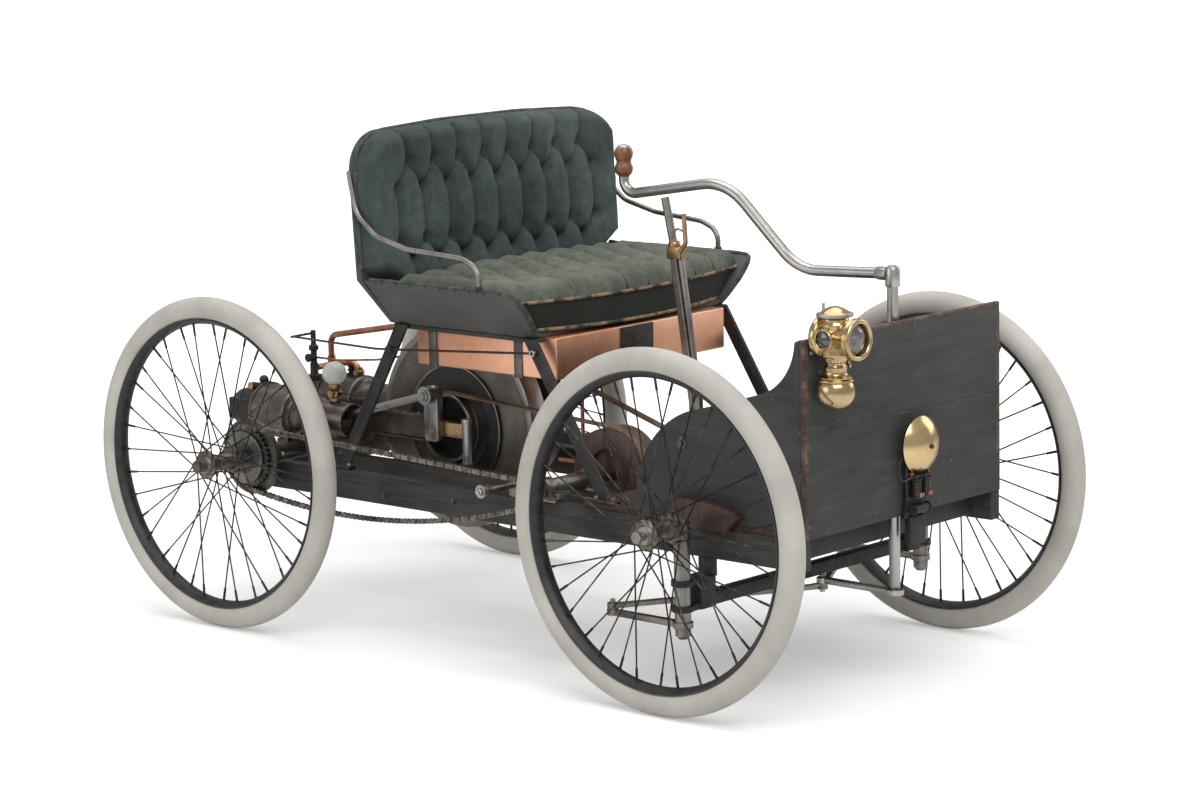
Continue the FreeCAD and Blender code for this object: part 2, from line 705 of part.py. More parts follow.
def engine_bed():
    """Bed plates, the cross bearers under the cylinders and the left pedestal on its sill."""
    sill_top = RAIL_BOTTOM + RAIL_H
    reach = SILL_X + SILL_W / 2
    sleeve_low = CRANK_Z - SLEEVE_R - SEAT_GAP
    front_bearer = box(-reach, reach, MOUTH_Y + 6, MOUTH_Y + 36, sill_top, sleeve_low)
    rear_low = CRANK_Z - JACKET_R - SEAT_GAP
    rear_bearer = box(-reach, reach, JACKET_FRONT + 30, JACKET_FRONT + 64, sill_top, rear_low)
    pedestal = box(SILL_X - 12, SILL_X + 12, CRANK_Y - 30, CRANK_Y + 30, sill_top, CRANK_Z + 24)
    bore = along_x(SILL_X - 13, SILL_X + 13, CRANK_Y, CRANK_Z, SHAFT_R)
    bed = joined([bed_channel(RIGHT_PLATE_X), bed_plate(LEFT_PLATE_X), front_bearer])
    return Part.makeCompound([bed, rear_bearer, pedestal.cut(bore), oil_tube()])


def crank_bearing():
    """Bronze bearing between the bed channel's end and the oil tube: a sleeve with a square box."""
    end = RIGHT_PLATE_X + 24
    sleeve = along_x(RIGHT_PLATE_X, end, CRANK_Y, CRANK_Z, 17)
    front = OIL_TUBE_Y + OIL_TUBE_R + SEAT_GAP
    rear = CRANK_Y + ARM_W / 2 + 4 - SEAT_GAP
    body = box(RIGHT_PLATE_X + 1, end - 2, front, rear, CRANK_Z - 12, CRANK_Z + 18)
    return joined([sleeve, body]).cut(along_x(RIGHT_PLATE_X - 1, end + 1, CRANK_Y, CRANK_Z, SHAFT_R))


def oil_tube():
    """Polished upright tube with a collar, standing on a foot on the right-hand sill."""
    sill_top = RAIL_BOTTOM + RAIL_H
    foot = box(-SILL_X, OIL_TUBE_X + 10, OIL_TUBE_Y - 12, OIL_TUBE_Y + 12, sill_top, sill_top + 8)
    tube = along_z(OIL_TUBE_X, OIL_TUBE_Y, sill_top, CRANK_Z + 31, OIL_TUBE_R)
    collar = turned_z([(0, CRANK_Z + 20), (OIL_TUBE_R + 1.5, CRANK_Z + 20), (OIL_TUBE_R + 1.5, CRANK_Z + 31),
                       (0, CRANK_Z + 31)], OIL_TUBE_X, OIL_TUBE_Y)
    return joined([foot, tube, collar])


def mixing_valve():
    """Upright mixing valve behind the tank, with its lever and the long control rod to the front leg."""
    x, y = VALVE_X, VALVE_Y
    low = CRANK_Z + JACKET_R
    stem = turned_z([(0, low - 4), (16, low - 4), (16, low + 8), (9, low + 12), (9, low + 34), (7, low + 38),
                     (7, low + 62), (11, low + 64), (11, low + 74), (6, low + 76), (6, low + 108),
                     (0, low + 108)], x, y)
    side = along_x(x - 20, x, y, low + 48, 8)
    lever = bar(V(x, y, low + 102), V(x - 62, y + 6, low + 100), 5, 5)
    outside = -LEG_X - ROD_R - 4.3
    clip_y = SEAT_BACK + 4
    clip_z = SEAT_LOW - 54
    eye_y = SEAT_FRONT - 9
    eye_z = SEAT_LOW - 27
    knee = V(outside, clip_y + 42, clip_z - 2)
    rod = bent_rod([V(x - 60, y + 6, low + 101), knee, V(outside, clip_y, clip_z), V(outside, eye_y, eye_z)],
                   ROD_R, [30, 20])
    clip = box(outside - 4, -LEG_X - SEAT_GAP, clip_y - 8, clip_y + 8, clip_z - 6, clip_z + 6)
    eye = along_x(outside - 4, -LEG_X - SEAT_GAP, eye_y, eye_z, 7)
    return joined([stem, side, lever, rod, clip, eye])


def oiler():
    """Brass cup, tap and base of the glass oiler on the right-hand cylinder."""
    x, y = CYL_RIGHT_X, OILER_Y
    low = CRANK_Z + SLEEVE_R + SEAT_GAP
    base = turned_z([(0, low), (14, low), (14, low + 10), (8, low + 14), (8, low + 22), (15, low + 28),
                     (15, low + 38), (0, low + 38)], x, y)
    tap = along_x(x - 22, x + 18, y, low + 17, 5)
    return joined([base, tap])


def oiler_glass():
    low = CRANK_Z + SLEEVE_R + 38 + 2 * SEAT_GAP
    globe_r = 25.0
    globe = Part.makeSphere(globe_r, V(CYL_RIGHT_X, OILER_Y, low + globe_r - 3))
    return globe.cut(box(CYL_RIGHT_X - 40, CYL_RIGHT_X + 40, OILER_Y - 40, OILER_Y + 40, low - 10, low))


def fuel_pipes():
    """Copper pipes: the wide one from the tank down to the branch between valve and left cylinder, and
    the thin one from the valve past the flywheel to the tank."""
    low = CRANK_Z + JACKET_R
    left_x = CYL_RIGHT_X + CYL_SPACING
    branch_z = low + 24
    valve_side = VALVE_X + 9 + SEAT_GAP
    branch = bent_rod([V(valve_side, VALVE_Y, branch_z), V(left_x, VALVE_Y, branch_z),
                       V(left_x, JACKET_FRONT + 20, branch_z), V(left_x, JACKET_FRONT + 20, low + SEAT_GAP)],
                      7, [20, 20])
    down_x = -8.0
    tank_z = SEAT_LOW - 16
    feed = bent_rod([V(down_x, TANK_BACK + SEAT_GAP, tank_z), V(down_x, TANK_BACK + 40, tank_z),
                     V(down_x, VALVE_Y, low + 90), V(down_x, VALVE_Y, branch_z)], 7, [40, 22])
    thin_z = low + 48
    thin = bent_rod([V(VALVE_X, VALVE_Y - 8 - SEAT_GAP, thin_z), V(VALVE_X, VALVE_Y - 80, thin_z),
                     V(down_x, VALVE_Y - 150, thin_z), V(down_x, TANK_BACK + 0.8, TANK_LOW + 16)],
                    ROD_R, [40, 40])
    return Part.makeCompound([joined([branch, feed]), thin])


# Countershaft, chain and rear axle

def sprocket(x, y, z, pitch_r, teeth, thick):
    """Toothed disc in a plane of constant x; its teeth stay inside the chain's outer links."""
    points = []
    root = pitch_r - CHAIN_H / 2
    tip = pitch_r + TOOTH_GAP
    for k in range(teeth):
        for share, r in ((0.0, root), (0.25, root), (0.42, tip), (0.83, tip)):
            a = 2 * math.pi * (k + share) / teeth
            points.append((y + r * math.cos(a), z + r * math.sin(a)))
    return plate_yz(points, x - thick / 2, x + thick / 2)


def countershaft():
    """Shaft with the small sprocket outside the right-hand rail and a thick sleeve beside it."""
    end = SILL_X + SILL_W / 2 + 14
    shaft = along_x(CHAIN_X - 14, end, SHAFT2_Y, SHAFT2_Z, SHAFT2_R)
    sleeve = along_x(-RAIL_OUT + RAIL_W + 6, -SILL_X - SILL_W / 2 - 10, SHAFT2_Y, SHAFT2_Z, 19)
    pinion = sprocket(CHAIN_X, SHAFT2_Y, SHAFT2_Z, PINION_R, 12, 4)
    collar = along_x(CHAIN_X + 7, -RAIL_OUT - 4, SHAFT2_Y, SHAFT2_Z, 18)
    return joined([shaft, sleeve, pinion, collar])


def belt_drum():
    """Wooden drum and the small fast pulley on the countershaft."""
    near = SLOW_X - BELT_W / 2 - 4
    far = near + 62
    slow = turned_x([(near, SLOW_DRUM_R), (far, SLOW_DRUM_R), (far, SHAFT2_R), (near + 12, SHAFT2_R),
                     (near + 12, 52), (near, 52)], SHAFT2_Y, SHAFT2_Z)
    half = BELT_W / 2 + 4
    fast = turned_x([(FAST_X - half, FAST_DRUM_R), (FAST_X + half, FAST_DRUM_R), (FAST_X + half, SHAFT2_R),
                     (FAST_X - half, SHAFT2_R)], SHAFT2_Y, SHAFT2_Z)
    return Part.makeCompound([slow, fast])


def pillow_block(x0, x1, y, z, r, fit):
    """Bearing block standing on a rail or sill, with a rounded top."""
    low = RAIL_BOTTOM + RAIL_H
    wall = 11.0
    foot = box(x0, x1, y - r - 24, y + r + 24, low, low + 9)
    body = box(x0, x1, y - r - wall, y + r + wall, low, z)
    cap = along_x(x0, x1, y, z, r + wall)
    keep = box(x0 - 1, x1 + 1, y - 100, y + 100, low, z + 100)
    return joined([foot, body, cap.common(keep)]).cut(along_x(x0 - 2, x1 + 2, y, z, r + fit))


def bearings():
    """Bearing blocks of the rear axle and countershaft, chain adjuster and the steering post's collars."""
    outer = RAIL_OUT - 1
    inner = RAIL_OUT - RAIL_W + 1
    blocks = []
    for side in (1, -1):
        x0, x1 = (inner, outer) if side > 0 else (-outer, -inner)
        blocks.append(pillow_block(x0, x1, AXLE_Y, WHEEL_R, REAR_AXLE_R, RUN_FIT))
    blocks.append(pillow_block(-outer, -inner, SHAFT2_Y, SHAFT2_Z, SHAFT2_R, 0))
    for side in (1, -1):
        blocks.append(pillow_block(side * SILL_X - 12, side * SILL_X + 12, SHAFT2_Y, SHAFT2_Z, SHAFT2_R, 0))
    blocks.append(adjuster_rod())
    return Part.makeCompound(blocks + column_bearings())


def adjuster_rod():
    """Cross rod between the chain's two runs, held in a block on the right-hand rail."""
    y = SHAFT2_Y + 74
    z = SHAFT2_Z + 4
    low = RAIL_BOTTOM + RAIL_H
    block = box(-RAIL_OUT + 1, -RAIL_OUT + RAIL_W - 1, y - 16, y + 16, low, z + 14)
    rod = along_x(-408, -RAIL_OUT + RAIL_W + 20, y, z, 8)
    nut = along_x(-414, -396, y, z, 12)
    return joined([block, rod, nut])


def chain_points(offset_of):
    """Loop of (y, z) points along the chain, each pushed out by offset_of(number)."""
    rear = (AXLE_Y, WHEEL_R, SPROCKET_R)
    front = (SHAFT2_Y, SHAFT2_Z, PINION_R)
    chord_angle = math.atan2((rear[1] - rear[2]) - (front[1] - front[2]), rear[0] - front[0])
    chord = rear[0] - front[0]
    turn = 2 * math.atan(2 * CHAIN_SAG / chord)
    rear_low = chord_angle + turn
    front_low = chord_angle - turn
    span = math.hypot(rear[0] - front[0], rear[1] - front[1])
    top_angle = math.atan2(rear[1] - front[1], rear[0] - front[0]) + math.asin((rear[2] - front[2]) / span)
    path = []
    step = CHAIN_PITCH / 4

    def arc(cy, cz, r, a0, a1):
        count = max(2, round(abs(a1 - a0) * r / step))
        for k in range(count):
            a = a0 + (a1 - a0) * k / count
            path.append((cy + r * math.cos(a), cz + r * math.sin(a), math.cos(a), math.sin(a)))

    def line(p0, p1, bend):
        length = math.hypot(p1[0] - p0[0], p1[1] - p0[1])
        count = max(2, round(length / step))
        ny, nz = (p1[1] - p0[1]) / length, -(p1[0] - p0[0]) / length
        for k in range(count):
            t = k / count
            drop = 4 * bend * t * (1 - t)
            y = p0[0] + (p1[0] - p0[0]) * t + ny * drop
            z = p0[1] + (p1[1] - p0[1]) * t + nz * drop
            path.append((y, z, ny, nz))

    half_pi = math.pi / 2
    arc(rear[0], rear[1], rear[2], rear_low - half_pi, half_pi + top_angle)
    top_rear = (rear[0] - rear[2] * math.sin(top_angle), rear[1] + rear[2] * math.cos(top_angle))
    top_front = (front[0] - front[2] * math.sin(top_angle), front[1] + front[2] * math.cos(top_angle))
    line(top_rear, top_front, 0)
    arc(front[0], front[1], front[2], half_pi + top_angle, 3 * half_pi + front_low)
    low_front = (front[0] + front[2] * math.sin(front_low), front[1] - front[2] * math.cos(front_low))
    low_rear = (rear[0] + rear[2] * math.sin(rear_low), rear[1] - rear[2] * math.cos(rear_low))
    line(low_front, low_rear, CHAIN_SAG)
    return [(y + ny * offset_of(k), z + nz * offset_of(k)) for k, (y, z, ny, nz) in enumerate(path)]


def chain():
    """Chain as one loop, waved like its links, grooved where the teeth run."""
    outer = chain_points(lambda k: CHAIN_H / 2 if k % 2 == 0 else CHAIN_H / 2 - LINK_WAIST)
    inner = chain_points(lambda k: -CHAIN_H / 2)[::2]
    x0 = CHAIN_X - CHAIN_W / 2
    x1 = CHAIN_X + CHAIN_W / 2
    loop = plate_yz(outer, x0, x1).cut(plate_yz(inner, x0 - 1, x1 + 1))
    grooves = []
    for y, z, r in ((AXLE_Y, WHEEL_R, SPROCKET_R), (SHAFT2_Y, SHAFT2_Z, PINION_R)):
        grooves.append(along_x(CHAIN_X - 2.5, CHAIN_X + 2.5, y, z, r + TOOTH_GAP + 1))
    return loop.cut(Part.makeCompound(grooves))


def rear_axle():
    """Live rear axle with the large sprocket, its cover disc, a drum and the hub nuts."""
    end = WHEEL_X + HUB_OUT + 12
    pieces = [along_x(-end, end, AXLE_Y, WHEEL_R, REAR_AXLE_R)]
    pieces.append(sprocket(CHAIN_X, AXLE_Y, WHEEL_R, SPROCKET_R, 36, 4))
    pieces.append(along_x(CHAIN_X - 12, CHAIN_X - 7, AXLE_Y, WHEEL_R, 56))
    pieces.append(along_x(CHAIN_X - 12, CHAIN_X + 14, AXLE_Y, WHEEL_R, 34))
    pieces.append(turned_x([(CHAIN_X + 8, 34), (CHAIN_X + 8, 82), (CHAIN_X + 20, 82), (CHAIN_X + 20, 34)],
                           AXLE_Y, WHEEL_R))
    pieces += [axle_nut(1, AXLE_Y), axle_nut(-1, AXLE_Y)]
    return joined(pieces)


# Steering

def knuckle():
    """Left steering knuckle: king pin with its cap nut, stub axle with nut, and steering arm to the rear."""
    arm_top = KING_LOW + ARM_PLATE
    pin = along_z(KING_X, -AXLE_Y, KING_LOW, WHEEL_R + 14, KING_R)
    cap_r = KING_R - 1
    cap = turned_z([(0, KING_LOW - 22), (10, KING_LOW - 22), (cap_r, KING_LOW - 16), (cap_r, KING_LOW),
                    (0, KING_LOW)], KING_X, -AXLE_Y)
    stub = along_x(KING_X, WHEEL_X + HUB_OUT + 12, -AXLE_Y, WHEEL_R, FRONT_STUB_R)
    eye_y = -AXLE_Y + STEER_ARM
    arm = box(KING_X - 9, KING_X + 9, -AXLE_Y, eye_y, KING_LOW, arm_top)
    boss = along_z(KING_X, -AXLE_Y, KING_LOW, arm_top, KING_R + 4)
    eye = along_z(KING_X, eye_y, KING_LOW, arm_top, 12)
    stud = along_z(KING_X, eye_y, KING_LOW, arm_top + ARM_PLATE + 8, STUD_R)
    return joined([pin, cap, stub, arm, boss, eye, stud, axle_nut(1, -AXLE_Y)])


def flat_bar(start, end, width, z0, z1):
    """Level bar between two points seen from above."""
    run = end - start
    turn = math.degrees(math.atan2(run.y, run.x))
    piece = box(0, run.Length, -width / 2, width / 2, z0, z1)
    piece.rotate(V(0, 0, 0), Z_AXIS, turn)
    piece.translate(V(start.x, start.y, 0))
    return piece


def drag_link(side):
    """Drag link from the drop arm's stud to one knuckle arm's stud; the two share the drop arm's stud,
    each with an eye of half its height."""
    low = KING_LOW + ARM_PLATE + SEAT_GAP
    top = low + ARM_PLATE
    middle = (low + top) / 2
    start = V(0, POST_Y + STEER_ARM, 0)
    end = V(side * KING_X, -AXLE_Y + STEER_ARM, 0)
    along = (end - start).normalize()
    eye_low, eye_top = (low, middle - SEAT_GAP / 2) if side > 0 else (middle + SEAT_GAP / 2, top)
    neck = flat_bar(start, start + along * 20, ARM_PLATE, eye_low, eye_top)
    shank = flat_bar(start + along * 14, end, ARM_PLATE, low + 1, top - 1)
    eyes = [along_z(start.x, start.y, eye_low, eye_top, 11), along_z(end.x, end.y, low, top, 11)]
    link = joined([neck, shank] + eyes)
    link = link.cut(along_z(start.x, start.y, low - 5, top + 5, STUD_R + RUN_FIT))
    return link.cut(along_z(end.x, end.y, low - 5, top + 5, STUD_R + EYE_FIT))


def front_axle():
    """Square beam with a clamp block, two ears and a perch at each end."""
    top = BEAM_LOW + BEAM
    end = KING_X - 30
    pieces = [box(-end, end, -AXLE_Y - BEAM / 2, -AXLE_Y + BEAM / 2, BEAM_LOW, top)]
    for side in (1, -1):
        inner = end - 44
        block = box(inner, end, -AXLE_Y - 22, -AXLE_Y + 22, BEAM_LOW, top + 36)
        upper = box(end - 4, KING_X, -AXLE_Y - 18, -AXLE_Y + 18, top + 24, top + 36)
        lower = box(end - 4, KING_X, -AXLE_Y - 18, -AXLE_Y + 18, BEAM_LOW, BEAM_LOW + 12)
        ear_r = KING_R + 6
        ears = [along_z(KING_X, -AXLE_Y, top + 24, top + 36, ear_r),
                along_z(KING_X, -AXLE_Y, BEAM_LOW, BEAM_LOW + 12, ear_r)]
        perch = box(RAIL_OUT - RAIL_W + 2, RAIL_OUT - 2, -AXLE_Y - 14, -AXLE_Y + 14, top + 30, RAIL_BOTTOM)
        bore = along_z(KING_X, -AXLE_Y, BEAM_LOW - 5, top + 45, KING_R + RUN_FIT)
        group = [p.cut(bore) for p in [upper, lower] + ears] + [block, perch]
        pieces += group if side > 0 else [mirrored(p) for p in group]
    return joined(pieces)


def steering_column():
    """Upright post, swept tiller tube above it and drop arm with its stud at the foot."""
    low = KING_LOW + 2 * ARM_PLATE + 2 * SEAT_GAP
    post = along_z(0, POST_Y, low, POST_TOP + 14, POST_R)
    tube = bent_rod([V(0, POST_Y, POST_TOP), V(0, TILLER_KNEE_Y, POST_TOP - 9),
                     V(0, TILLER_CREST_Y, TILLER_CREST_Z), V(0, TILLER_END, TILLER_END_Z),
                     V(0, TILLER_END, GRIP_LOW - SEAT_GAP)],
                    POST_R, [KNEE_R, CREST_R, END_R])
    eye_y = POST_Y + STEER_ARM
    arm = box(-9, 9, POST_Y, eye_y, low, low + ARM_PLATE)
    boss = along_z(0, POST_Y, low, low + ARM_PLATE, 18)
    eye = along_z(0, eye_y, low, low + ARM_PLATE, 12)
    stud = along_z(0, eye_y, low - ARM_PLATE - 6, low + ARM_PLATE, STUD_R)
    return joined([post, tube, arm, boss, eye, stud])


def tiller_grip():
    """Turned wooden grip with two swells."""
    swells = ((10, 0.0), (16, 0.18), (17, 0.34), (12, 0.5), (15, 0.64), (16, 0.78), (10, 0.95), (0, 1.0))
    profile = [(0, GRIP_LOW)] + [(r, GRIP_LOW + share * GRIP_H) for r, share in swells]
    return turned_z(profile, 0, TILLER_END)


# Lamp, bell and controls

def lamp():
    """Brass oil lamp: round fount, barrel with chimney, large front lens bezel, rear drum and side bezel."""
    x, y = LAMP_X, LAMP_Y
    mid = LAMP_Z
    lens_z = mid - 7
    body = turned_z([(0, mid - 140), (18, mid - 138), (32, mid - 128), (37, mid - 110), (35, mid - 93),
                     (32, mid - 80), (22, mid - 76), (22, mid - 61), (18, mid - 56), (18, mid - 47),
                     (28, mid - 40), (28, mid + 22), (26, mid + 28), (33, mid + 34), (33, mid + 39),
                     (24, mid + 42), (19, mid + 50), (0, mid + 53)], x, y)
    front = turned_y([(y - 57, 30), (y - 60, 36), (y - 56, 40), (y - 44, 40), (y - 36, 30), (y, 26), (y, 0),
                      (y - 42, 0), (y - 42, 30)], x, lens_z)
    drum = along_y(x, y + 18, y + 36, lens_z, 40.5)
    side = turned_x([(x - 38, 17.5), (x - 38, 20), (x - 22, 20), (x - 22, 0), (x - 32, 0), (x - 32, 17.5)],
                    y, lens_z)
    pin = along_z(x, y + 27, mid + 28, mid + 57, 3)
    bracket = box(x - 12, x + 12, y, BOX_FRONT - SEAT_GAP, mid - 40, mid - 22)
    return joined([body, front, drum, side, pin, bracket])


def lamp_glass():
    x, y = LAMP_X, LAMP_Y
    lens_z = LAMP_Z - 7
    front = along_y(x, y - 50, y - 42 - SEAT_GAP, lens_z, 29)
    side = along_x(x - 36, x - 32 - SEAT_GAP, y, lens_z, 16.5)
    return Part.makeCompound([front, side])


def bell():
    """Domed gong with a small boss, on a post in front of the panel."""
    x, z = BELL_X, BELL_Z
    front = BOX_FRONT - 46
    wall = 3.0
    dome_r = (BELL_R ** 2 + BELL_DEPTH ** 2) / (2 * BELL_DEPTH)
    centre = V(x, front + dome_r, z)
    dome = Part.makeSphere(dome_r, centre).cut(Part.makeSphere(dome_r - wall, centre))
    gong = dome.common(box(x - BELL_R, x + BELL_R, front, front + BELL_DEPTH, z - BELL_R, z + BELL_R))
    boss = along_y(x, front - 5, front + 5, z, 8)
    post = along_y(x, front, BOX_FRONT - SEAT_GAP, z, 7)
    return joined([gong, boss, post])


def bell_striker():
    x, z = BELL_X, BELL_Z
    base = box(x - 34, x + 26, BOX_FRONT - 12, BOX_FRONT - SEAT_GAP, z - 110, z - 30)
    coils = [along_z(x + dx, BOX_FRONT - 24, z - 100, z - 62, 12) for dx in (-20, 8)]
    return joined([base] + coils)


def hand_lever():
    """Flat steel control lever between driver's feet and seat, with a rod above its jaw."""
    x = LEVER_X
    half = LEVER_W / 2
    foot_y = FLOOR_BACK - 44
    knee_y = foot_y + 4
    jaw_y = foot_y + 49
    top_y = foot_y + 77
    floor_top = RAIL_BOTTOM + RAIL_H + FLOOR_T
    outline = [(foot_y - half, floor_top + 3), (foot_y + half, floor_top + 3),
               (knee_y + half, LEVER_KNEE_Z - 2), (jaw_y + half, LEVER_JAW_Z - 2),
               (jaw_y - half, LEVER_JAW_Z + 2), (knee_y - half, LEVER_KNEE_Z + 2)]
    blade = plate_yz(outline, x - LEVER_T / 2, x + LEVER_T / 2)
    base = box(x - 20, x + 20, foot_y - 34, foot_y + 34, floor_top, floor_top + 10)
    jaw = box(x - 10, x + 10, jaw_y - 18, jaw_y + 18, LEVER_JAW_Z - 14, LEVER_JAW_Z + 12)
    handle = bar(V(x, jaw_y, LEVER_JAW_Z - 6), V(x, top_y, LEVER_TOP_Z), 10, 14)
    return joined([base, blade, jaw, handle])


def column_bearings():
    """Two collars that hold the steering post against the front panel."""
    pieces = []
    for z in (RAIL_BOTTOM + RAIL_H + COLLAR_RISE, BOX_TOP - COLLAR_DROP):
        arm = box(-20, 20, BOX_FRONT + BOX_T + SEAT_GAP, POST_Y + 4, z, z + COLLAR_H)
        ring = along_z(0, POST_Y, z, z + COLLAR_H, POST_R + 7)
        panel_room = box(-40, 40, BOX_FRONT - 5, BOX_FRONT + BOX_T + SEAT_GAP, z - 1, z + 20)
        bore = along_z(0, POST_Y, z - 1, z + 20, POST_R + RUN_FIT)
        pieces.append(joined([arm, ring]).cut(bore).cut(panel_room))
    return pieces


def front_brackets():
    """Carved wooden bracket beside each side panel, standing on the rail over the front axle."""
    low = RAIL_BOTTOM + RAIL_H
    rear = BRACKET_L / 2 - AXLE_Y - BRACKET_LEAD
    front = rear - BRACKET_L
    outline = [(rear, low), (rear, low + 46), (rear - 8, low + 54), ((rear + front) / 2 - 3, low + 52),
               (front + 16, low + 42), (front, low + 30), (front + 22, low + 12), (front + 32, low)]
    return plate_yz(outline, BOX_HALF_W + SEAT_GAP, BOX_HALF_W + 27)


def save(name, shape):
    bad = [s for s in shape.Solids if not s.isValid()]
    print(name, len(shape.Solids), "INVALID" if bad else "", round(shape.Volume / 1000, 1))
    shape.exportStep("parts/" + name + ".step")


def save_pair(name, shape):
    """Saves a left-hand piece and its mirror image for the right."""
    save(name + "_left", shape)
    save(name + "_right", mirrored(shape))


def save_wheels():
    rubber = tyre()
    for end, y, bore in (("front", -AXLE_Y, FRONT_STUB_R + RUN_FIT), ("rear", AXLE_Y, REAR_AXLE_R)):
        wires = wire_wheel(bore)
        for side, word in ((1, "left"), (-1, "right")):
            save("tyre_" + end + "_" + word, placed_wheel(rubber, side, y))
            save("wheel_" + end + "_" + word, placed_wheel(wires, side, y))


def main():
    os.makedirs("parts", exist_ok=True)
    save_wheels()
    save_pair("side_rail", side_rail())
    save("sills", both_sides(sill()))
    save("cross_bars", cross_bars())
    save("floor_board", floor_board())
    save("front_panel", front_panel())
    save("side_panels", both_sides(side_panel()))
    save("seat_tray", seat_tray())
    save("seat_back_board", seat_back_board())
    save("seat_cushion", seat_cushion())
    save("back_cushion", back_cushion())
    save("arm_rails", both_sides(arm_rail()))
    save("seat_legs", both_sides(seat_legs()))
    save("fuel_tank", fuel_tank())
    save("tank_straps", tank_straps())
    save("cylinders", cylinders())
    save("connecting_rods", connecting_rods())
    save("crankshaft", crankshaft())
    save("crank_bearing", crank_bearing())
    save("flywheel", flywheel())
    save("belts", belts())
    save("engine_bed", engine_bed())
    save("mixing_valve", mixing_valve())
    save("oiler", oiler())
    save("oiler_glass", oiler_glass())
    save("fuel_pipes", fuel_pipes())
    save("countershaft", countershaft())
    save("belt_drum", belt_drum())
    save("bearings", bearings())
    save("chain", chain())
    save("rear_axle", rear_axle())
    save_pair("knuckle", knuckle())
    save("drag_link_left", drag_link(1))
    save("drag_link_right", drag_link(-1))
    save("front_axle", front_axle())
    save("front_brackets", both_sides(front_brackets()))
    save("steering_column", steering_column())
    save("tiller_grip", tiller_grip())
    save("hand_lever", hand_lever())
    save("lamp", lamp())
    save("lamp_glass", lamp_glass())
    save("bell", bell())
    save("bell_striker", bell_striker())


main()
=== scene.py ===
"""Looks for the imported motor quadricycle: shapes, finishes, camera and light.

Metres, +Z up, the front faces -Y, the right-hand side is -X. Turned profiles are rows of
heights and radii in millimetres, through mm, solid and hoop.
"""
import math

import bpy
from mathutils import Matrix, Vector, noise

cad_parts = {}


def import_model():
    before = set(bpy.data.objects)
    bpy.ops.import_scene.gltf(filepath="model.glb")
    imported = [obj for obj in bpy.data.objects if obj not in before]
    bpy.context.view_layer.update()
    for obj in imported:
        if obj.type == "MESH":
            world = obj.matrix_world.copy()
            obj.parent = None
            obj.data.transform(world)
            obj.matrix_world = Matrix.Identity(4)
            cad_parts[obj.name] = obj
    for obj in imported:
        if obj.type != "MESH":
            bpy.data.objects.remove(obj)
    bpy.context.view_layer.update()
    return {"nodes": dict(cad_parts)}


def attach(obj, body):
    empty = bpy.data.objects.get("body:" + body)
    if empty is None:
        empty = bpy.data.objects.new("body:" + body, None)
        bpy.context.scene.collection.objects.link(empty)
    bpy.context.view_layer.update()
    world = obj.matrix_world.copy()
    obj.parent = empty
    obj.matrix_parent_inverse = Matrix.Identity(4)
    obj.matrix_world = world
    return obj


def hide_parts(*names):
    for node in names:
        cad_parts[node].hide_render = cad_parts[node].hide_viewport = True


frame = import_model()

# POINT: a ring this small stands for a place on the axis. WELD: corners nearer than this are one.
POINT = 0.00004
WELD = 0.00001
SHARP_EDGE = 40
FLAT_EDGE = 1
AXLE_Y = 0.6175
WHEEL_R = 0.3556
TRACK_HALF = 0.454
CRANK_Y = 0.266
CRANK_Z = 0.417
TURNS = {
    "X": Matrix.Rotation(math.radians(90), 4, "Y"),
    "-X": Matrix.Rotation(math.radians(-90), 4, "Y"),
    "Y": Matrix.Rotation(math.radians(-90), 4, "X"),
    "-Y": Matrix.Rotation(math.radians(90), 4, "X"),
    "Z": Matrix.Identity(4),
}
SIDES = ((1, "left"), (-1, "right"))
FACING = {1: "X", -1: "-X"}
MIRROR = Matrix.Scale(-1, 4, (1, 0, 0))
PANEL_FACE = -0.8673


# Modelling with the operators

def none_selected():
    if bpy.context.mode != "OBJECT":
        bpy.ops.object.mode_set(mode="OBJECT")
    bpy.ops.object.select_all(action="DESELECT")


def only(piece):
    none_selected()
    piece.select_set(True)
    bpy.context.view_layer.objects.active = piece


def editing(piece):
    only(piece)
    bpy.ops.object.mode_set(mode="EDIT")
    bpy.ops.mesh.select_all(action="SELECT")


def edited():
    """Faces turned outward, and back to the object."""
    bpy.ops.mesh.normals_make_consistent(inside=False)
    bpy.ops.object.mode_set(mode="OBJECT")


def named(piece, name):
    piece.name = name
    piece.data.name = name
    return piece


def placed(data, name):
    """A new object in the scene."""
    piece = bpy.data.objects.new(name, data)
    bpy.context.scene.collection.objects.link(piece)
    return piece


def settled(piece, name):
    """The piece's place goes into its mesh."""
    only(piece)
    bpy.ops.object.transform_apply(location=True, rotation=True, scale=True)
    return named(piece, name)


def moved(piece, place):
    piece.data.transform(place)
    piece.data.update()
    return piece


def smoothed(piece, angle=38):
    only(piece)
    bpy.ops.object.shade_smooth_by_angle(angle=math.radians(angle))
    return piece


def modified(piece, kind, **settings):
    only(piece)
    bpy.ops.object.modifier_add(type=kind)
    modifier = piece.modifiers[-1]
    for key, value in settings.items():
        setattr(modifier, key, value)
    bpy.ops.object.modifier_apply(modifier=modifier.name)
    return piece


def eased(piece, width, segments=2):
    """Bevelled edges, smooth between them."""
    modified(
        piece, "BEVEL", width=width, segments=segments, limit_method="ANGLE",
        angle_limit=math.radians(SHARP_EDGE), miter_outer="MITER_ARC")
    return smoothed(piece)


def block(name, low, high, ease=0.0015, segments=2):
    none_selected()
    middle = [(a + b) / 2 for a, b in zip(low, high)]
    bpy.ops.mesh.primitive_cube_add(size=1, location=middle)
    piece = bpy.context.object
    piece.scale = [b - a for a, b in zip(low, high)]
    settled(piece, name)
    return eased(piece, ease, segments) if ease else piece


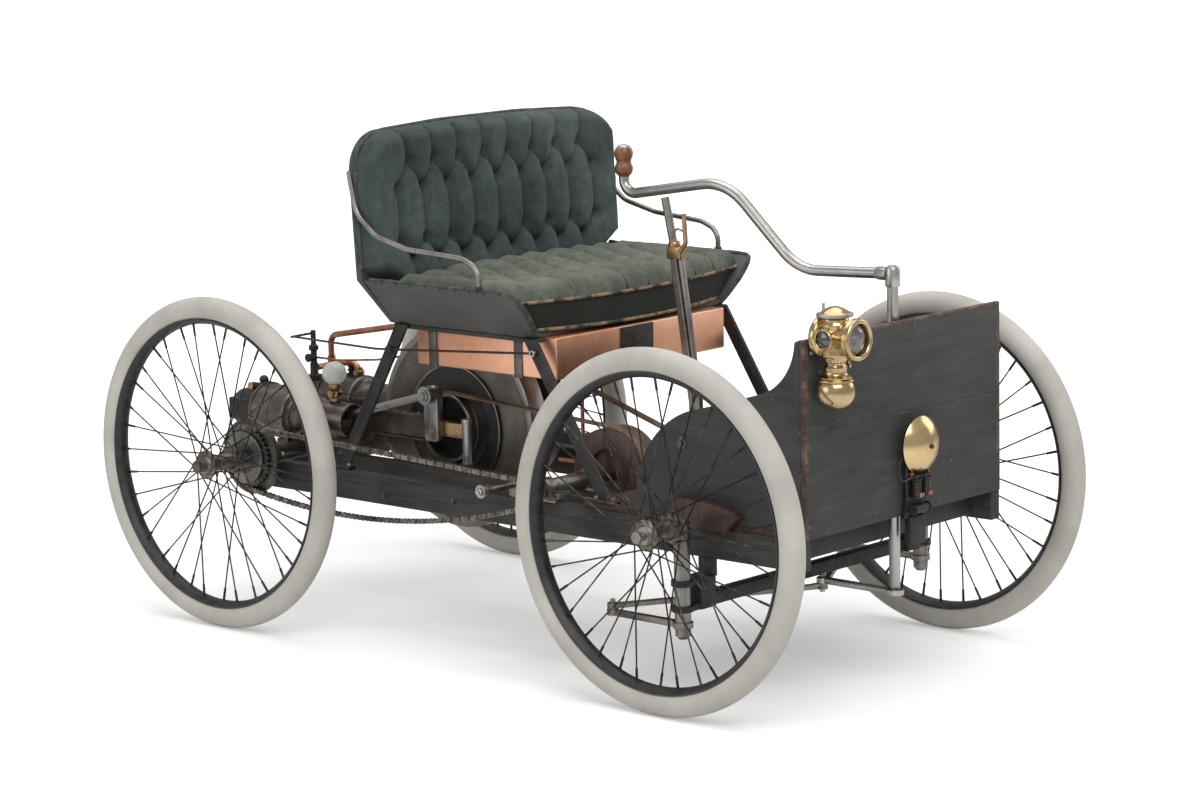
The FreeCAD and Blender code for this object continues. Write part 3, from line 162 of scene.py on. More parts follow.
def turned(name, rings, base=(0, 0, 0), axis="Z", sides=48, angle=38):
    """A ring extruded and resized through (height, radius) steps along an axis."""
    none_selected()
    first_h, first_r = rings[0]
    bpy.ops.mesh.primitive_circle_add(vertices=sides, radius=max(first_r, POINT), location=(0, 0, first_h))
    piece = bpy.context.object
    editing(piece)
    for (h0, r0), (h1, r1) in zip(rings, rings[1:]):
        bpy.ops.mesh.extrude_region_move(TRANSFORM_OT_translate={"value": (0, 0, h1 - h0)})
        ratio = max(r1, POINT) / max(r0, POINT)
        bpy.ops.transform.resize(value=(ratio, ratio, 1), center_override=(0, 0, h1))
    bpy.ops.mesh.select_all(action="SELECT")
    bpy.ops.mesh.remove_doubles(threshold=POINT * 1.2)
    edited()
    settled(piece, name)
    moved(piece, Matrix.Translation(Vector(base)) @ TURNS[axis])
    return smoothed(piece, angle)


def pointing(start, run):
    """Takes +Z at the origin to a run from start."""
    return Matrix.Translation(start) @ run.to_track_quat("Z", "Y").to_matrix().to_4x4()


def shaft(name, start, end, radius, sides=20, ease=0.0):
    """A round bar between two points."""
    start, end = Vector(start), Vector(end)
    run = end - start
    lip = min(ease, radius * 0.5, run.length * 0.3)
    rings = [(0, radius), (run.length, radius)]
    if lip:
        rings = [(0, radius - lip), (lip, radius), (run.length - lip, radius), (run.length, radius - lip)]
    piece = turned(name, [(0, 0), *rings, (run.length, 0)], sides=sides)
    return moved(piece, pointing(start, run))


def bent(points, reach):
    """The route's points, with two more beside each corner."""
    route = [Vector(p) for p in points]
    out = [route[0]]
    for before, here, after in zip(route, route[1:], route[2:]):
        near = min(reach, (here - before).length * 0.48)
        far = min(reach, (after - here).length * 0.48)
        out += [here + (before - here).normalized() * near, here, here + (after - here).normalized() * far]
    return out + [route[-1]]


def tube(name, points, radius, reach=0.03, sides=4, steps=8):
    """A round rod or pipe on a smooth curve."""
    return piped(name, bent(points, reach), radius, sides, "NURBS", steps)


def piped(name, route, radius, sides, kind, steps):
    none_selected()
    line = bpy.data.curves.new(name, "CURVE")
    line.dimensions = "3D"
    spline = line.splines.new(kind)
    spline.points.add(len(route) - 1)
    for point, spot in zip(spline.points, route):
        point.co = (*spot, 1)
    spline.order_u = 3
    spline.use_endpoint_u = True
    line.resolution_u = steps
    line.bevel_depth = radius
    line.bevel_resolution = sides
    line.use_fill_caps = True
    only(placed(line, name))
    bpy.ops.object.convert(target="MESH")
    return smoothed(settled(bpy.context.object, name), 50)


def plate(name, outline, axis, low, high, ease=0.001, segments=2):
    """A flat piece with an outline, between two places along X, Y or Z."""
    none_selected()
    bpy.ops.mesh.primitive_circle_add(vertices=len(outline), radius=0.1, fill_type="NGON")
    piece = bpy.context.object
    for corner, (u, v) in zip(piece.data.vertices, outline):
        corner.co = {"X": (low, u, v), "Y": (u, low, v), "Z": (u, v, low)}[axis]
    push = {"X": (high - low, 0, 0), "Y": (0, high - low, 0), "Z": (0, 0, high - low)}[axis]
    editing(piece)
    bpy.ops.mesh.extrude_region_move(TRANSFORM_OT_translate={"value": push})
    bpy.ops.mesh.select_all(action="SELECT")
    edited()
    settled(piece, name)
    return eased(piece, ease, segments) if ease else piece


def joined(name, pieces):
    none_selected()
    for piece in pieces:
        piece.select_set(True)
    bpy.context.view_layer.objects.active = pieces[0]
    if len(pieces) > 1:
        bpy.ops.object.join()
    return named(bpy.context.object, name)


def twin(piece, name, place):
    copy = placed(piece.data.copy(), name)
    copy.data.transform(place)
    if place.determinant() < 0:
        copy.data.flip_normals()
    return copy


def repeated(name, model, places):
    """One model copied to many places, as one piece."""
    copies = [twin(model, name, place) for place in places]
    bpy.data.objects.remove(model)
    return joined(name, copies)


def cleaned(node, name, ease):
    """A copy of a solid, its loose triangles merged into clean faces and its edges eased."""
    piece = placed(frame["nodes"][node].data.copy(), name)
    editing(piece)
    bpy.ops.mesh.remove_doubles(threshold=WELD)
    bpy.ops.mesh.dissolve_limited(angle_limit=math.radians(FLAT_EDGE))
    edited()
    return eased(named(piece, name), ease)


def finished(piece, material, slot, *nodes, body="chassis"):
    """One look and body for a piece, and the solids it stands for; slot is not used."""
    piece.data.materials.clear()
    piece.data.materials.append(material)
    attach(piece, body)
    if nodes:
        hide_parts(*nodes)
    return piece


# Rows of millimetres

def mm(*sizes):
    """(height, radius) steps in metres."""
    return [(h / 1000, r / 1000) for h, r in zip(sizes[::2], sizes[1::2])]


def solid(*sizes):
    """The same, with a flat end where the row doesn't start or stop on the axis."""
    rings = mm(*sizes)
    (low, first_r), (high, last_r) = rings[0], rings[-1]
    return [(low, 0)] * (first_r > 0) + rings + [(high, 0)] * (last_r > 0)


def hoop(*sizes):
    """The same, closed into a ring about the axis."""
    rings = mm(*sizes)
    return rings + rings[:1]


# Finishes

class Wire:
    """A socket's value, with arithmetic that adds the nodes it needs."""

    def __init__(self, paint, socket):
        self.paint = paint
        self.socket = socket

    def math(self, operation, *others):
        return self.paint.node("Math", {"operation": operation}, dict(enumerate((self, *others))))

    def __add__(self, other):
        return self.math("ADD", other)

    def __mul__(self, other):
        return self.math("MULTIPLY", other)

    def __sub__(self, other):
        return self.math("SUBTRACT", other)

    def __rsub__(self, other):
        return self.paint.node("Math", {"operation": "SUBTRACT"}, {0: other, 1: self})

    __radd__ = __add__
    __rmul__ = __mul__


class Paint:
    """One material, made node by node."""

    def __init__(self, name, **constants):
        self.material = bpy.data.materials.new(name)
        self.material.use_nodes = True
        self.tree = self.material.node_tree
        self.shader = self.tree.nodes["Principled BSDF"]
        for key, value in constants.items():
            self.shader.inputs[key.replace("_", " ")].default_value = value
        self.place = self.node("TexCoord", {}, {}, "Object")

    def node(self, kind, settings, values, out=0):
        made = self.tree.nodes.new("ShaderNode" + kind)
        for key, value in settings.items():
            if key == "stops":
                self.ramp_stops(made.color_ramp, value)
            else:
                setattr(made, key, value)
        for key, value in values.items():
            if isinstance(value, Wire):
                self.tree.links.new(value.socket, made.inputs[key])
            else:
                made.inputs[key].default_value = value
        return Wire(self, made.outputs[out])

    def ramp_stops(self, ramp, stops):
        while len(ramp.elements) < len(stops):
            ramp.elements.new(0.5)
        for element, (position, tone) in zip(ramp.elements, stops):
            element.position = position
            element.color = (*tone, 1) if isinstance(tone, tuple) else (tone, tone, tone, 1)

    def stretched(self, scale=(1, 1, 1), turn=(0, 0, 0)):
        return self.node("Mapping", {}, {"Vector": self.place, "Scale": scale, "Rotation": turn})

    def noise(self, scale, detail=4.0, rough=0.55, at=None, distortion=0.0):
        return self.node("TexNoise", {}, {
            "Vector": at or self.place, "Scale": scale, "Detail": detail, "Roughness": rough,
            "Distortion": distortion}, "Fac")

    def threads(self, direction, **values):
        """Fine parallel bands, wavering by Distortion."""
        return self.node("TexWave", {
            "wave_type": "BANDS", "bands_direction": direction}, {"Vector": self.place, **values}, 1)

    def between(self, value, low, high):
        """0 below low, 1 above high."""
        return self.node("MapRange", {"clamp": True}, {
            "Value": value, "From Min": low, "From Max": high, "To Min": 0.0, "To Max": 1.0})

    def tones(self, value, *stops):
        return self.node("ValToRGB", {"stops": stops}, {"Fac": value})

    def mixed(self, amount, first, second):
        tones = [tone if isinstance(tone, Wire) else (*tone, 1) for tone in (first, second)]
        return self.node("Mix", {"data_type": "RGBA"}, {0: amount, 6: tones[0], 7: tones[1]}, 2)

    def part(self, axis):
        return self.node("SeparateXYZ", {}, {0: self.place}, "XYZ".index(axis))

    def finish(self, color, rough, bump, strength, distance, metal=0.0):
        self.into("Base Color", color)
        self.into("Roughness", rough)
        self.into("Metallic", metal)
        self.into("Normal", self.node("Bump", {}, {
            "Height": bump, "Strength": strength, "Distance": distance}))
        return self.material

    def into(self, name, value):
        if isinstance(value, Wire):
            self.tree.links.new(value.socket, self.shader.inputs[name])
        else:
            self.shader.inputs[name].default_value = value


def pale_rubber():
    paint = Paint("pale rubber", Specular_IOR_Level=0.3)
    cloudy = paint.noise(9, 5)
    specks = paint.between(paint.noise(160, 3), 0.6, 0.72)
    scuffs = paint.between(paint.noise(34, 6, 0.7), 0.58, 0.74)
    base = paint.tones(
        cloudy, (0.3, (0.43, 0.405, 0.36)), (0.55, (0.51, 0.49, 0.445)), (0.8, (0.57, 0.55, 0.5)))
    worn = paint.mixed(scuffs * 0.35, base, (0.42, 0.38, 0.32))
    color = paint.mixed(specks * 0.25, worn, (0.5, 0.46, 0.4))
    return paint.finish(color, 0.72 + scuffs * 0.12, paint.noise(420, 3) + cloudy * 0.6, 0.12, 0.0006)


def black_enamel():
    paint = Paint("black enamel", Specular_IOR_Level=0.5)
    dust = paint.noise(40, 6, 0.65)
    chips = paint.between(paint.noise(210, 4), 0.66, 0.7)
    base = paint.tones(dust, (0.35, (0.012, 0.012, 0.013)), (0.75, (0.04, 0.038, 0.036)))
    color = paint.mixed(chips * 0.6, base, (0.12, 0.09, 0.07))
    return paint.finish(color, 0.34 + dust * 0.25, dust, 0.15, 0.0004)


def black_timber():
    paint = Paint("black timber", Specular_IOR_Level=0.4)
    grain = paint.noise(26, 8, 0.6, paint.stretched((6, 0.35, 6)), 0.6)
    patches = paint.noise(11, 6, 0.6)
    bare = paint.between(paint.noise(58, 7, 0.72) + patches * 0.35, 0.79, 0.86)
    base = paint.tones(
        grain * 0.6 + patches * 0.4, (0.38, (0.019, 0.018, 0.017)), (0.66, (0.066, 0.06, 0.055)))
    color = paint.mixed(bare, base, (0.085, 0.045, 0.028))
    return paint.finish(color, 0.46 + patches * 0.25, grain * 0.7 + bare * -0.5, 0.35, 0.0012)


def seam(paint, across, height, place, slant, wide, seed):
    """0 to 1 on a wavering line: a board's joint or a crack."""
    waver = paint.noise(11, 4, 0.6, paint.node("Mapping", {}, {
        "Vector": paint.place, "Location": (seed, 0, seed)}))
    off = (height - (across * slant + place)) + (waver - 0.5) * 0.006
    return 1 - paint.between(off.math("ABSOLUTE"), wide * 0.4, wide)


def charcoal_panel():
    """Old paint on boards: joints, a crack, faint streaks and scratches, worn brown spots and edges."""
    paint = Paint("charcoal panel", Specular_IOR_Level=0.32)
    x, y, z = (paint.part(axis) for axis in "XYZ")
    front = 1 - paint.between(y, -0.862, -0.859)
    low_joint = seam(paint, x, z, 0.549, -0.01, 0.0022, 3.0)
    high_joint = seam(paint, x, z, 0.645, 0.04, 0.0014, 7.0)
    split = seam(paint, z, x, 0.0, 0.035, 0.0012, 11.0) * paint.between(z, 0.545, 0.56)
    joints = (low_joint.math("MAXIMUM", high_joint * 0.7).math("MAXIMUM", split * 0.8)) * front
    ragged = paint.noise(34, 7, 0.72)
    border = paint.between(x.math("ABSOLUTE") + (ragged - 0.5) * 0.03, 0.302, 0.308) * front
    top_edge = paint.between(z + (ragged - 0.5) * 0.012, 0.7225, 0.7255)
    streaks = paint.noise(16, 7, 0.6, paint.stretched((0.5, 0.5, 3.4)), 0.4)
    clouds = paint.noise(5, 5, 0.6)
    scratches = paint.between(paint.noise(
        17, 5, 0.7, paint.stretched((6, 6, 0.5), (0.1, 0.3, 0)), 0.8), 0.68, 0.72)
    fine = paint.between(paint.noise(
        21, 5, 0.7, paint.stretched((0.6, 0.6, 7), (0.2, 0.05, 0)), 0.8), 0.69, 0.73)
    bare = paint.between(paint.noise(38, 8, 0.75) + clouds * 0.3, 0.785, 0.83)
    worn = (border.math("MAXIMUM", top_edge)).math("MAXIMUM", joints * paint.between(ragged, 0.42, 0.5))
    base = paint.tones(
        streaks * 0.5 + clouds * 0.5, (0.36, (0.034, 0.034, 0.034)), (0.5, (0.047, 0.047, 0.046)),
        (0.68, (0.072, 0.071, 0.069)))
    marked = paint.mixed(scratches * 0.22 + fine * 0.2, base, (0.15, 0.145, 0.138))
    wood = paint.tones(
        ragged, (0.4, (0.05, 0.024, 0.017)), (0.55, (0.13, 0.075, 0.052)), (0.68, (0.28, 0.22, 0.18)))
    scuffed = paint.mixed(worn * 0.85, paint.mixed(bare, marked, (0.09, 0.045, 0.027)), wood)
    color = paint.mixed(joints * 0.55, scuffed, (0.012, 0.01, 0.009))
    return paint.finish(
        color, 0.5 + clouds * 0.2, streaks * 0.4 - bare * 0.6 - joints * 1.6 - worn * 0.4, 0.45, 0.0012)


def varnished_floor():
    paint = Paint("floor board", Specular_IOR_Level=0.35)
    grain = paint.noise(22, 8, 0.65, paint.stretched((7, 0.3, 1)), 0.8)
    dirt = paint.noise(9, 6, 0.65)
    wood = paint.tones(
        grain, (0.35, (0.03, 0.016, 0.011)), (0.55, (0.07, 0.036, 0.024)), (0.78, (0.12, 0.065, 0.042)))
    color = paint.mixed(paint.between(dirt, 0.42, 0.7) * 0.7, wood, (0.045, 0.04, 0.036))
    return paint.finish(color, 0.55 + dirt * 0.2, grain, 0.4, 0.001)


def tray_paint():
    paint = Paint("grey tray paint", Specular_IOR_Level=0.4)
    clouds = paint.noise(7, 6, 0.6)
    scratches = paint.between(paint.noise(40, 3, 0.5, paint.stretched((1, 8, 1), (0.3, 0, 0.2))), 0.66, 0.7)
    spots = paint.between(paint.noise(130, 5, 0.6), 0.68, 0.73)
    base = paint.tones(
        clouds, (0.3, (0.062, 0.062, 0.06)), (0.55, (0.082, 0.082, 0.079)), (0.8, (0.115, 0.114, 0.109)))
    color = paint.mixed(scratches * 0.35 + spots * 0.4, base, (0.21, 0.2, 0.18))
    return paint.finish(color, 0.42 + clouds * 0.2, clouds - spots * 0.3, 0.2, 0.0008)


def green_cloth(name, deep, body, faded, sheen, shade_below=0.0):
    """Twill on the piece's own surface: two thread directions, fading in clouds."""
    paint = Paint(name, Specular_IOR_Level=0.2, Sheen_Weight=sheen, Sheen_Roughness=0.6)
    threads = paint.threads("DIAGONAL", **{"Scale": 620, "Distortion": 1.2, "Detail": 2, "Detail Scale": 1.4})
    cross = paint.threads("X", Scale=700, Distortion=0.8, Detail=1)
    fade = paint.noise(7, 6, 0.62)
    streak = paint.noise(60, 5, 0.7, paint.stretched((1, 1, 0.25)))
    weave = threads * 0.6 + cross * 0.4
    base = paint.tones(fade * 0.65 + streak * 0.35, (0.34, deep), (0.52, body), (0.72, faded))
    color = paint.mixed((1 - weave) * 0.3, base, tuple(c * 0.55 for c in deep))
    # Painted shade: below the given height the cushion's upright front is mixed towards near black, as for a
    # face turned from the light.
    if shade_below:
        color = paint.mixed(0.9 - paint.between(
            paint.part("Z"), shade_below - 0.006, shade_below + 0.001) * 0.9, color, (0.012, 0.015, 0.012))
    return paint.finish(color, 0.86, weave * 0.6 + streak * 0.5 + fade * 0.5, 0.28, 0.0006)


def tan_cord():
    paint = Paint("tan welt", Specular_IOR_Level=0.2)
    wear = paint.between(paint.noise(30, 6, 0.7), 0.44, 0.56)
    twist = paint.threads("DIAGONAL", Scale=160, Distortion=1)
    color = paint.mixed(wear, (0.045, 0.05, 0.043), (0.34, 0.235, 0.145))
    return paint.finish(color, 0.85, twist, 0.5, 0.0008)


def grey_cord():
    paint = Paint("grey edge binding", Specular_IOR_Level=0.2)
    wear = paint.noise(44, 6, 0.7)
    color = paint.tones(
        wear, (0.35, (0.04, 0.046, 0.042)), (0.55, (0.075, 0.083, 0.075)), (0.7, (0.16, 0.165, 0.15)))
    return paint.finish(color, 0.8, wear, 0.5, 0.0008)


def plain_metal(
        name, dark, mid, light, rough, spread=0.2, scale=24, strength=0.15, metal=1.0, stain=None,
        stain_from=0.62):
    """Bare metal with tarnish in clouds, fine scratches and, where it has them, stains."""
    paint = Paint(name)
    clouds = paint.noise(scale, 7, 0.62)
    fine = paint.noise(scale * 9, 4, 0.6)
    color = paint.tones(clouds * 0.75 + fine * 0.25, (0.34, dark), (0.52, mid), (0.7, light))
    roughness = rough + clouds * spread
    shine = metal
    if stain:
        stained = paint.between(paint.noise(scale * 1.7, 8, 0.7), stain_from, stain_from + 0.1)
        color = paint.mixed(stained, color, stain)
        roughness = roughness + stained * 0.25
        shine = (1 - stained * 0.75) * metal
    return paint.finish(color, roughness, fine * 0.6 + clouds, strength, 0.0006, shine)


def leather():
    paint = Paint("belt leather", Specular_IOR_Level=0.35)
    grain = paint.node("TexVoronoi", {}, {"Vector": paint.place, "Scale": 900}, "Distance")
    clouds = paint.noise(18, 6, 0.65)
    color = paint.tones(
        clouds, (0.34, (0.08, 0.058, 0.044)), (0.58, (0.2, 0.145, 0.108)), (0.8, (0.32, 0.235, 0.175)))
    return paint.finish(color, 0.5 + clouds * 0.2, grain * 0.5 + clouds, 0.25, 0.0006)


def grained_wood(name, dark, mid, light, scale, rough):
    paint = Paint(name, Specular_IOR_Level=0.45, Coat_Weight=0.15, Coat_Roughness=0.3)
    grain = paint.noise(scale, 8, 0.62, paint.stretched((1, 1, 0.22)), 1.0)
    color = paint.tones(grain, (0.34, dark), (0.52, mid), (0.72, light))
    return paint.finish(color, rough + grain * 0.15, grain, 0.25, 0.0006)


def frosted_glass():
    """Old milky globe, cloudy inside."""
    paint = Paint("frosted glass", Transmission_Weight=0.35, IOR=1.45, Specular_IOR_Level=0.6)
    clouds = paint.noise(70, 6, 0.65)
    color = paint.tones(
        clouds, (0.35, (0.7, 0.72, 0.7)), (0.6, (0.86, 0.87, 0.85)), (0.8, (0.93, 0.94, 0.92)))
    return paint.finish(color, 0.18 + clouds * 0.3, clouds, 0.1, 0.0004)


def lamp_glass(name, tone_scale, stretch, waver, rough, relief, *stops):
    """Thick polished glass without transmission, clouds of tone in its colour; on the lens the pale streaks
    are painted reflection.
    """
    paint = Paint(name, Specular_IOR_Level=0.9, Coat_Weight=1.0, Coat_Roughness=0.03, IOR=1.55)
    # The clouds of tone below are named depth; on the lens their pale streaks are painted reflection.
    depth = paint.noise(*tone_scale, 0.6, stretch and paint.stretched(stretch), waver)
    return paint.finish(paint.tones(depth, *stops), rough, depth, relief, 0.0003)


def wheel_iron():
    """Turned cast iron: dark flat face with fine rings, bright worn rim."""
    paint = Paint("flywheel iron")
    flat = paint.node("Mapping", {}, {
        "Vector": paint.place, "Location": (0, -CRANK_Y, -CRANK_Z), "Scale": (0, 1, 1)})
    reach = paint.node("VectorMath", {"operation": "LENGTH"}, {0: flat}, 1)
    rim = paint.between(reach, 0.2035, 0.2065)
    turning = paint.noise(900, 2, 0.5, paint.node("CombineXYZ", {}, {0: reach}))
    clouds = paint.noise(9, 6, 0.62)
    face = paint.tones(
        clouds * 0.7 + turning * 0.3, (0.34, (0.085, 0.072, 0.06)), (0.52, (0.165, 0.15, 0.13)),
        (0.7, (0.28, 0.26, 0.23)))
    bright = paint.tones(clouds, (0.35, (0.2, 0.185, 0.17)), (0.65, (0.4, 0.39, 0.37)))
    color = paint.mixed(rim, face, bright)
    return paint.finish(
        color, 0.42 - rim * 0.16 + clouds * 0.14, turning * 0.7 + clouds * 0.4, 0.12, 0.0004, 0.85)


RUBBER = pale_rubber()
ENAMEL = black_enamel()
TIMBER = black_timber()
PANEL = charcoal_panel()
FLOOR = varnished_floor()
TRAY = tray_paint()
BACK_CLOTH = green_cloth(
    "dark green cloth", (0.035, 0.048, 0.047), (0.066, 0.088, 0.085), (0.125, 0.15, 0.133), 0.04)
# The seat cloth's last number is the height below which its upright front gets painted shade.
SEAT_CLOTH = green_cloth(
    "faded green cloth with painted shade", (0.066, 0.074, 0.058), (0.14, 0.152, 0.12), (0.24, 0.246, 0.19), 0.04, 0.7405)
# Near-black cloth for the lines laid along the creases: painted shade.
CREASE_SHADE = green_cloth("crease shade cloth", (0.007, 0.01, 0.01), (0.013, 0.018, 0.018), (0.022, 0.028, 0.027), 0.0)
WELT = tan_cord()
BINDING = grey_cord()
COPPER = plain_metal(
    "copper sheet", (0.74, 0.36, 0.21), (0.88, 0.47, 0.3), (0.94, 0.6, 0.43), 0.36, 0.16, 5, 0.12,
    stain=(0.3, 0.12, 0.07), stain_from=0.68)
PIPE = plain_metal(
    "copper pipe", (0.26, 0.1, 0.06), (0.55, 0.25, 0.15), (0.72, 0.38, 0.26), 0.3, 0.2, 30,
    stain=(0.07, 0.035, 0.025), stain_from=0.55)
BRASS = plain_metal(
    "polished brass", (0.4, 0.28, 0.13), (0.57, 0.43, 0.235), (0.66, 0.53, 0.33), 0.14, 0.14, 14, 0.1,
    stain=(0.3, 0.2, 0.09), stain_from=0.68)
BRONZE = plain_metal(
    "bronze", (0.28, 0.17, 0.08), (0.5, 0.33, 0.18), (0.64, 0.47, 0.29), 0.25, 0.2, 26,
    stain=(0.09, 0.06, 0.035), stain_from=0.6)
STEEL = plain_metal(
    "bright steel", (0.3, 0.285, 0.265), (0.44, 0.43, 0.41), (0.56, 0.55, 0.53), 0.22, 0.2, 20,
    stain=(0.17, 0.14, 0.11), stain_from=0.68)
DULL = plain_metal(
    "dull steel", (0.07, 0.062, 0.055), (0.13, 0.12, 0.11), (0.24, 0.225, 0.205), 0.32, 0.25, 28,
    stain=(0.06, 0.043, 0.032), stain_from=0.58, metal=0.9)
IRON_GREY = plain_metal(
    "grey iron", (0.075, 0.072, 0.068), (0.125, 0.12, 0.115), (0.19, 0.185, 0.175), 0.36, 0.22, 10,
    stain=(0.07, 0.052, 0.04), stain_from=0.66, metal=0.85)
IRON_RUST = plain_metal(
    "stained iron", (0.06, 0.045, 0.037), (0.12, 0.098, 0.085), (0.23, 0.205, 0.185), 0.3, 0.25, 16, 0.25,
    0.8, (0.06, 0.034, 0.024), 0.56)
JACKET = plain_metal(
    "cylinder iron", (0.07, 0.055, 0.046), (0.15, 0.13, 0.117), (0.33, 0.305, 0.285), 0.22, 0.24, 13, 0.16,
    0.9, (0.07, 0.042, 0.03), 0.6)
IRON_BLACK = plain_metal(
    "black iron", (0.014, 0.013, 0.012), (0.03, 0.028, 0.026), (0.065, 0.06, 0.055), 0.38, 0.25, 26, 0.2,
    0.35, (0.06, 0.04, 0.03), 0.66)
LEATHER = leather()
DRUM_WOOD = grained_wood(
    "drum wood", (0.03, 0.014, 0.01), (0.075, 0.038, 0.028), (0.12, 0.065, 0.048), 40, 0.45)
GRIP_WOOD = grained_wood("grip wood", (0.09, 0.03, 0.014), (0.2, 0.075, 0.034), (0.33, 0.145, 0.07), 60, 0.3)
BRACKET = grained_wood(
    "bracket wood", (0.02, 0.01, 0.007), (0.052, 0.025, 0.018), (0.11, 0.06, 0.042), 30, 0.5)
HUB_STEEL = plain_metal(
    "hub steel", (0.1, 0.085, 0.07), (0.19, 0.165, 0.145), (0.33, 0.3, 0.27), 0.3, 0.22, 34,
    stain=(0.07, 0.05, 0.038), stain_from=0.6, metal=0.9)
POLISHED = plain_metal(
    "polished steel", (0.34, 0.32, 0.3), (0.47, 0.455, 0.435), (0.56, 0.55, 0.53), 0.26, 0.1, 9, 0.02,
    stain=(0.2, 0.17, 0.14), stain_from=0.7)
CHAIN_STEEL = plain_metal(
    "chain steel", (0.07, 0.06, 0.052), (0.19, 0.17, 0.15), (0.46, 0.43, 0.39), 0.26, 0.2, 60,
    stain=(0.07, 0.047, 0.034), stain_from=0.62, metal=0.9)
SPOKE_STEEL = plain_metal(
    "spoke steel", (0.018, 0.017, 0.016), (0.045, 0.042, 0.039), (0.17, 0.16, 0.15), 0.28, 0.2, 40,
    metal=0.9)
COLUMN = plain_metal(
    "axle steel", (0.16, 0.145, 0.13), (0.3, 0.28, 0.26), (0.44, 0.42, 0.4), 0.3, 0.2, 16,
    stain=(0.09, 0.066, 0.05), stain_from=0.6)
GONG = plain_metal(
    "gong brass", (0.58, 0.41, 0.2), (0.7, 0.52, 0.28), (0.78, 0.6, 0.35), 0.17, 0.12, 9, 0.06,
    stain=(0.36, 0.24, 0.11), stain_from=0.7)
FLY_IRON = wheel_iron()
FROSTED = frosted_glass()
# Lens: dark glass tones, and pale vertical streaks of painted reflection.
LENS = lamp_glass(
    "lamp lens", (26, 4), (1, 1, 2.2), 0.8, 0.09, 0.04, (0.34, (0.02, 0.019, 0.022)),
    (0.5, (0.11, 0.085, 0.1)), (0.62, (0.2, 0.19, 0.21)), (0.74, (0.42, 0.42, 0.43)))
JEWEL = lamp_glass(
    "lamp side glass", (40, 3), None, 0.0, 0.08, 0.03, (0.36, (0.006, 0.012, 0.009)),
    (0.55, (0.016, 0.03, 0.022)), (0.72, (0.04, 0.075, 0.055)))


# Camera

CAMERA_TURNS = (-48.0, 9.62, -1.24)
CAMERA_PLACE = (-5.347, -4.888, 1.714)
FOCAL_PIXELS = 3502.0
PHOTO_WIDTH = 1200.0
SENSOR_WIDTH = 36.0


def camera_at_photo():
    """The photograph's place: azimuth, elevation and roll were fitted to the four wheels."""
    azimuth, elevation, roll = (math.radians(a) for a in CAMERA_TURNS)
    back = Vector((
        math.sin(azimuth) * math.cos(elevation), -math.cos(azimuth) * math.cos(elevation),
        math.sin(elevation)))
    right = (-back).cross(Vector((0, 0, 1))).normalized()
    up = right.cross(-back)
    x_axis = math.cos(roll) * right + math.sin(roll) * up
    y_axis = -math.sin(roll) * right + math.cos(roll) * up
    lens = bpy.data.cameras.new("camera")
    lens.sensor_width = SENSOR_WIDTH
    lens.lens = FOCAL_PIXELS / PHOTO_WIDTH * SENSOR_WIDTH
    lens.clip_end = 200.0
    eye = placed(lens, "camera")
    place = Matrix((x_axis, y_axis, back)).transposed().to_4x4()
    place.translation = Vector(CAMERA_PLACE)
    eye.matrix_world = place
    bpy.context.scene.camera = eye


# Stage

WORLD_LIGHT = 0.45
LIGHTS = (
    ("key", (-2.2, -3.4, 4.6), 0.4, (4.0, 3.0), 150),
    ("overhead", (0.6, 0.6, 5.0), 0.4, (5.0, 4.0), 120),
    ("fill", (-5.0, 1.5, 2.0), 0.5, (3.0, 2.5), 40),
    ("side", (4.5, -2.0, 2.5), 0.5, (3.0, 2.5), 40),
)
FLOOR_TONE = (0.86, 0.86, 0.86, 1)
FADE = (1.2, 5.0)


def stage():
    """A pale matt floor; the camera sees it fade into the white surroundings."""
    none_selected()
    bpy.ops.mesh.primitive_plane_add(size=60, location=(0, 0, 0))
    floor = bpy.context.object
    floor.name = "studio_floor"
    paint = Paint("studio floor", Specular_IOR_Level=0.0, Roughness=1.0)
    paint.into("Base Color", FLOOR_TONE)
    rays = paint.node("LightPath", {}, {}, "Is Camera Ray")
    far = paint.node("VectorMath", {"operation": "LENGTH"}, {0: paint.place}, 1)
    level = paint.between(far, *FADE) * 0.65 + 0.3
    glow = paint.node("Emission", {}, {"Color": level, "Strength": 1.0})
    matt = Wire(paint, paint.shader.outputs[0])
    choice = paint.node("MixShader", {}, {
        0: rays, 1: matt, 2: paint.node("AddShader", {}, {0: matt, 1: glow})})
    paint.tree.links.new(choice.socket, paint.tree.nodes["Material Output"].inputs["Surface"])
    floor.data.materials.append(paint.material)


def world():
    """Even white surroundings; camera and transmission rays see plain white."""
    sky = bpy.data.worlds.new("studio")
    bpy.context.scene.world = sky
    sky.use_nodes = True
    nodes, links = sky.node_tree.nodes, sky.node_tree.links
    ground = nodes["Background"]
    ground.inputs["Color"].default_value = (1, 1, 1, 1)
    path = nodes.new("ShaderNodeLightPath")
    seen = nodes.new("ShaderNodeMath")
    seen.operation = "MAXIMUM"
    links.new(path.outputs["Is Camera Ray"], seen.inputs[0])
    links.new(path.outputs["Is Transmission Ray"], seen.inputs[1])
    level = nodes.new("ShaderNodeMapRange")
    links.new(seen.outputs[0], level.inputs["Value"])
    level.inputs["To Min"].default_value = WORLD_LIGHT
    level.inputs["To Max"].default_value = 1.0
    links.new(level.outputs[0], ground.inputs["Strength"])


def lamp_panel(name, place, aim, size, power):
    """One soft rectangular light, turned to its aim."""
    light = bpy.data.lights.new(name, "AREA")
    light.shape = "RECTANGLE"
    light.size, light.size_y = size
    light.energy = power
    holder = placed(light, name)
    holder.location = place
    holder.rotation_mode = "QUATERNION"
    holder.rotation_quaternion = (Vector(aim) - Vector(place)).to_track_quat("-Z", "Y")


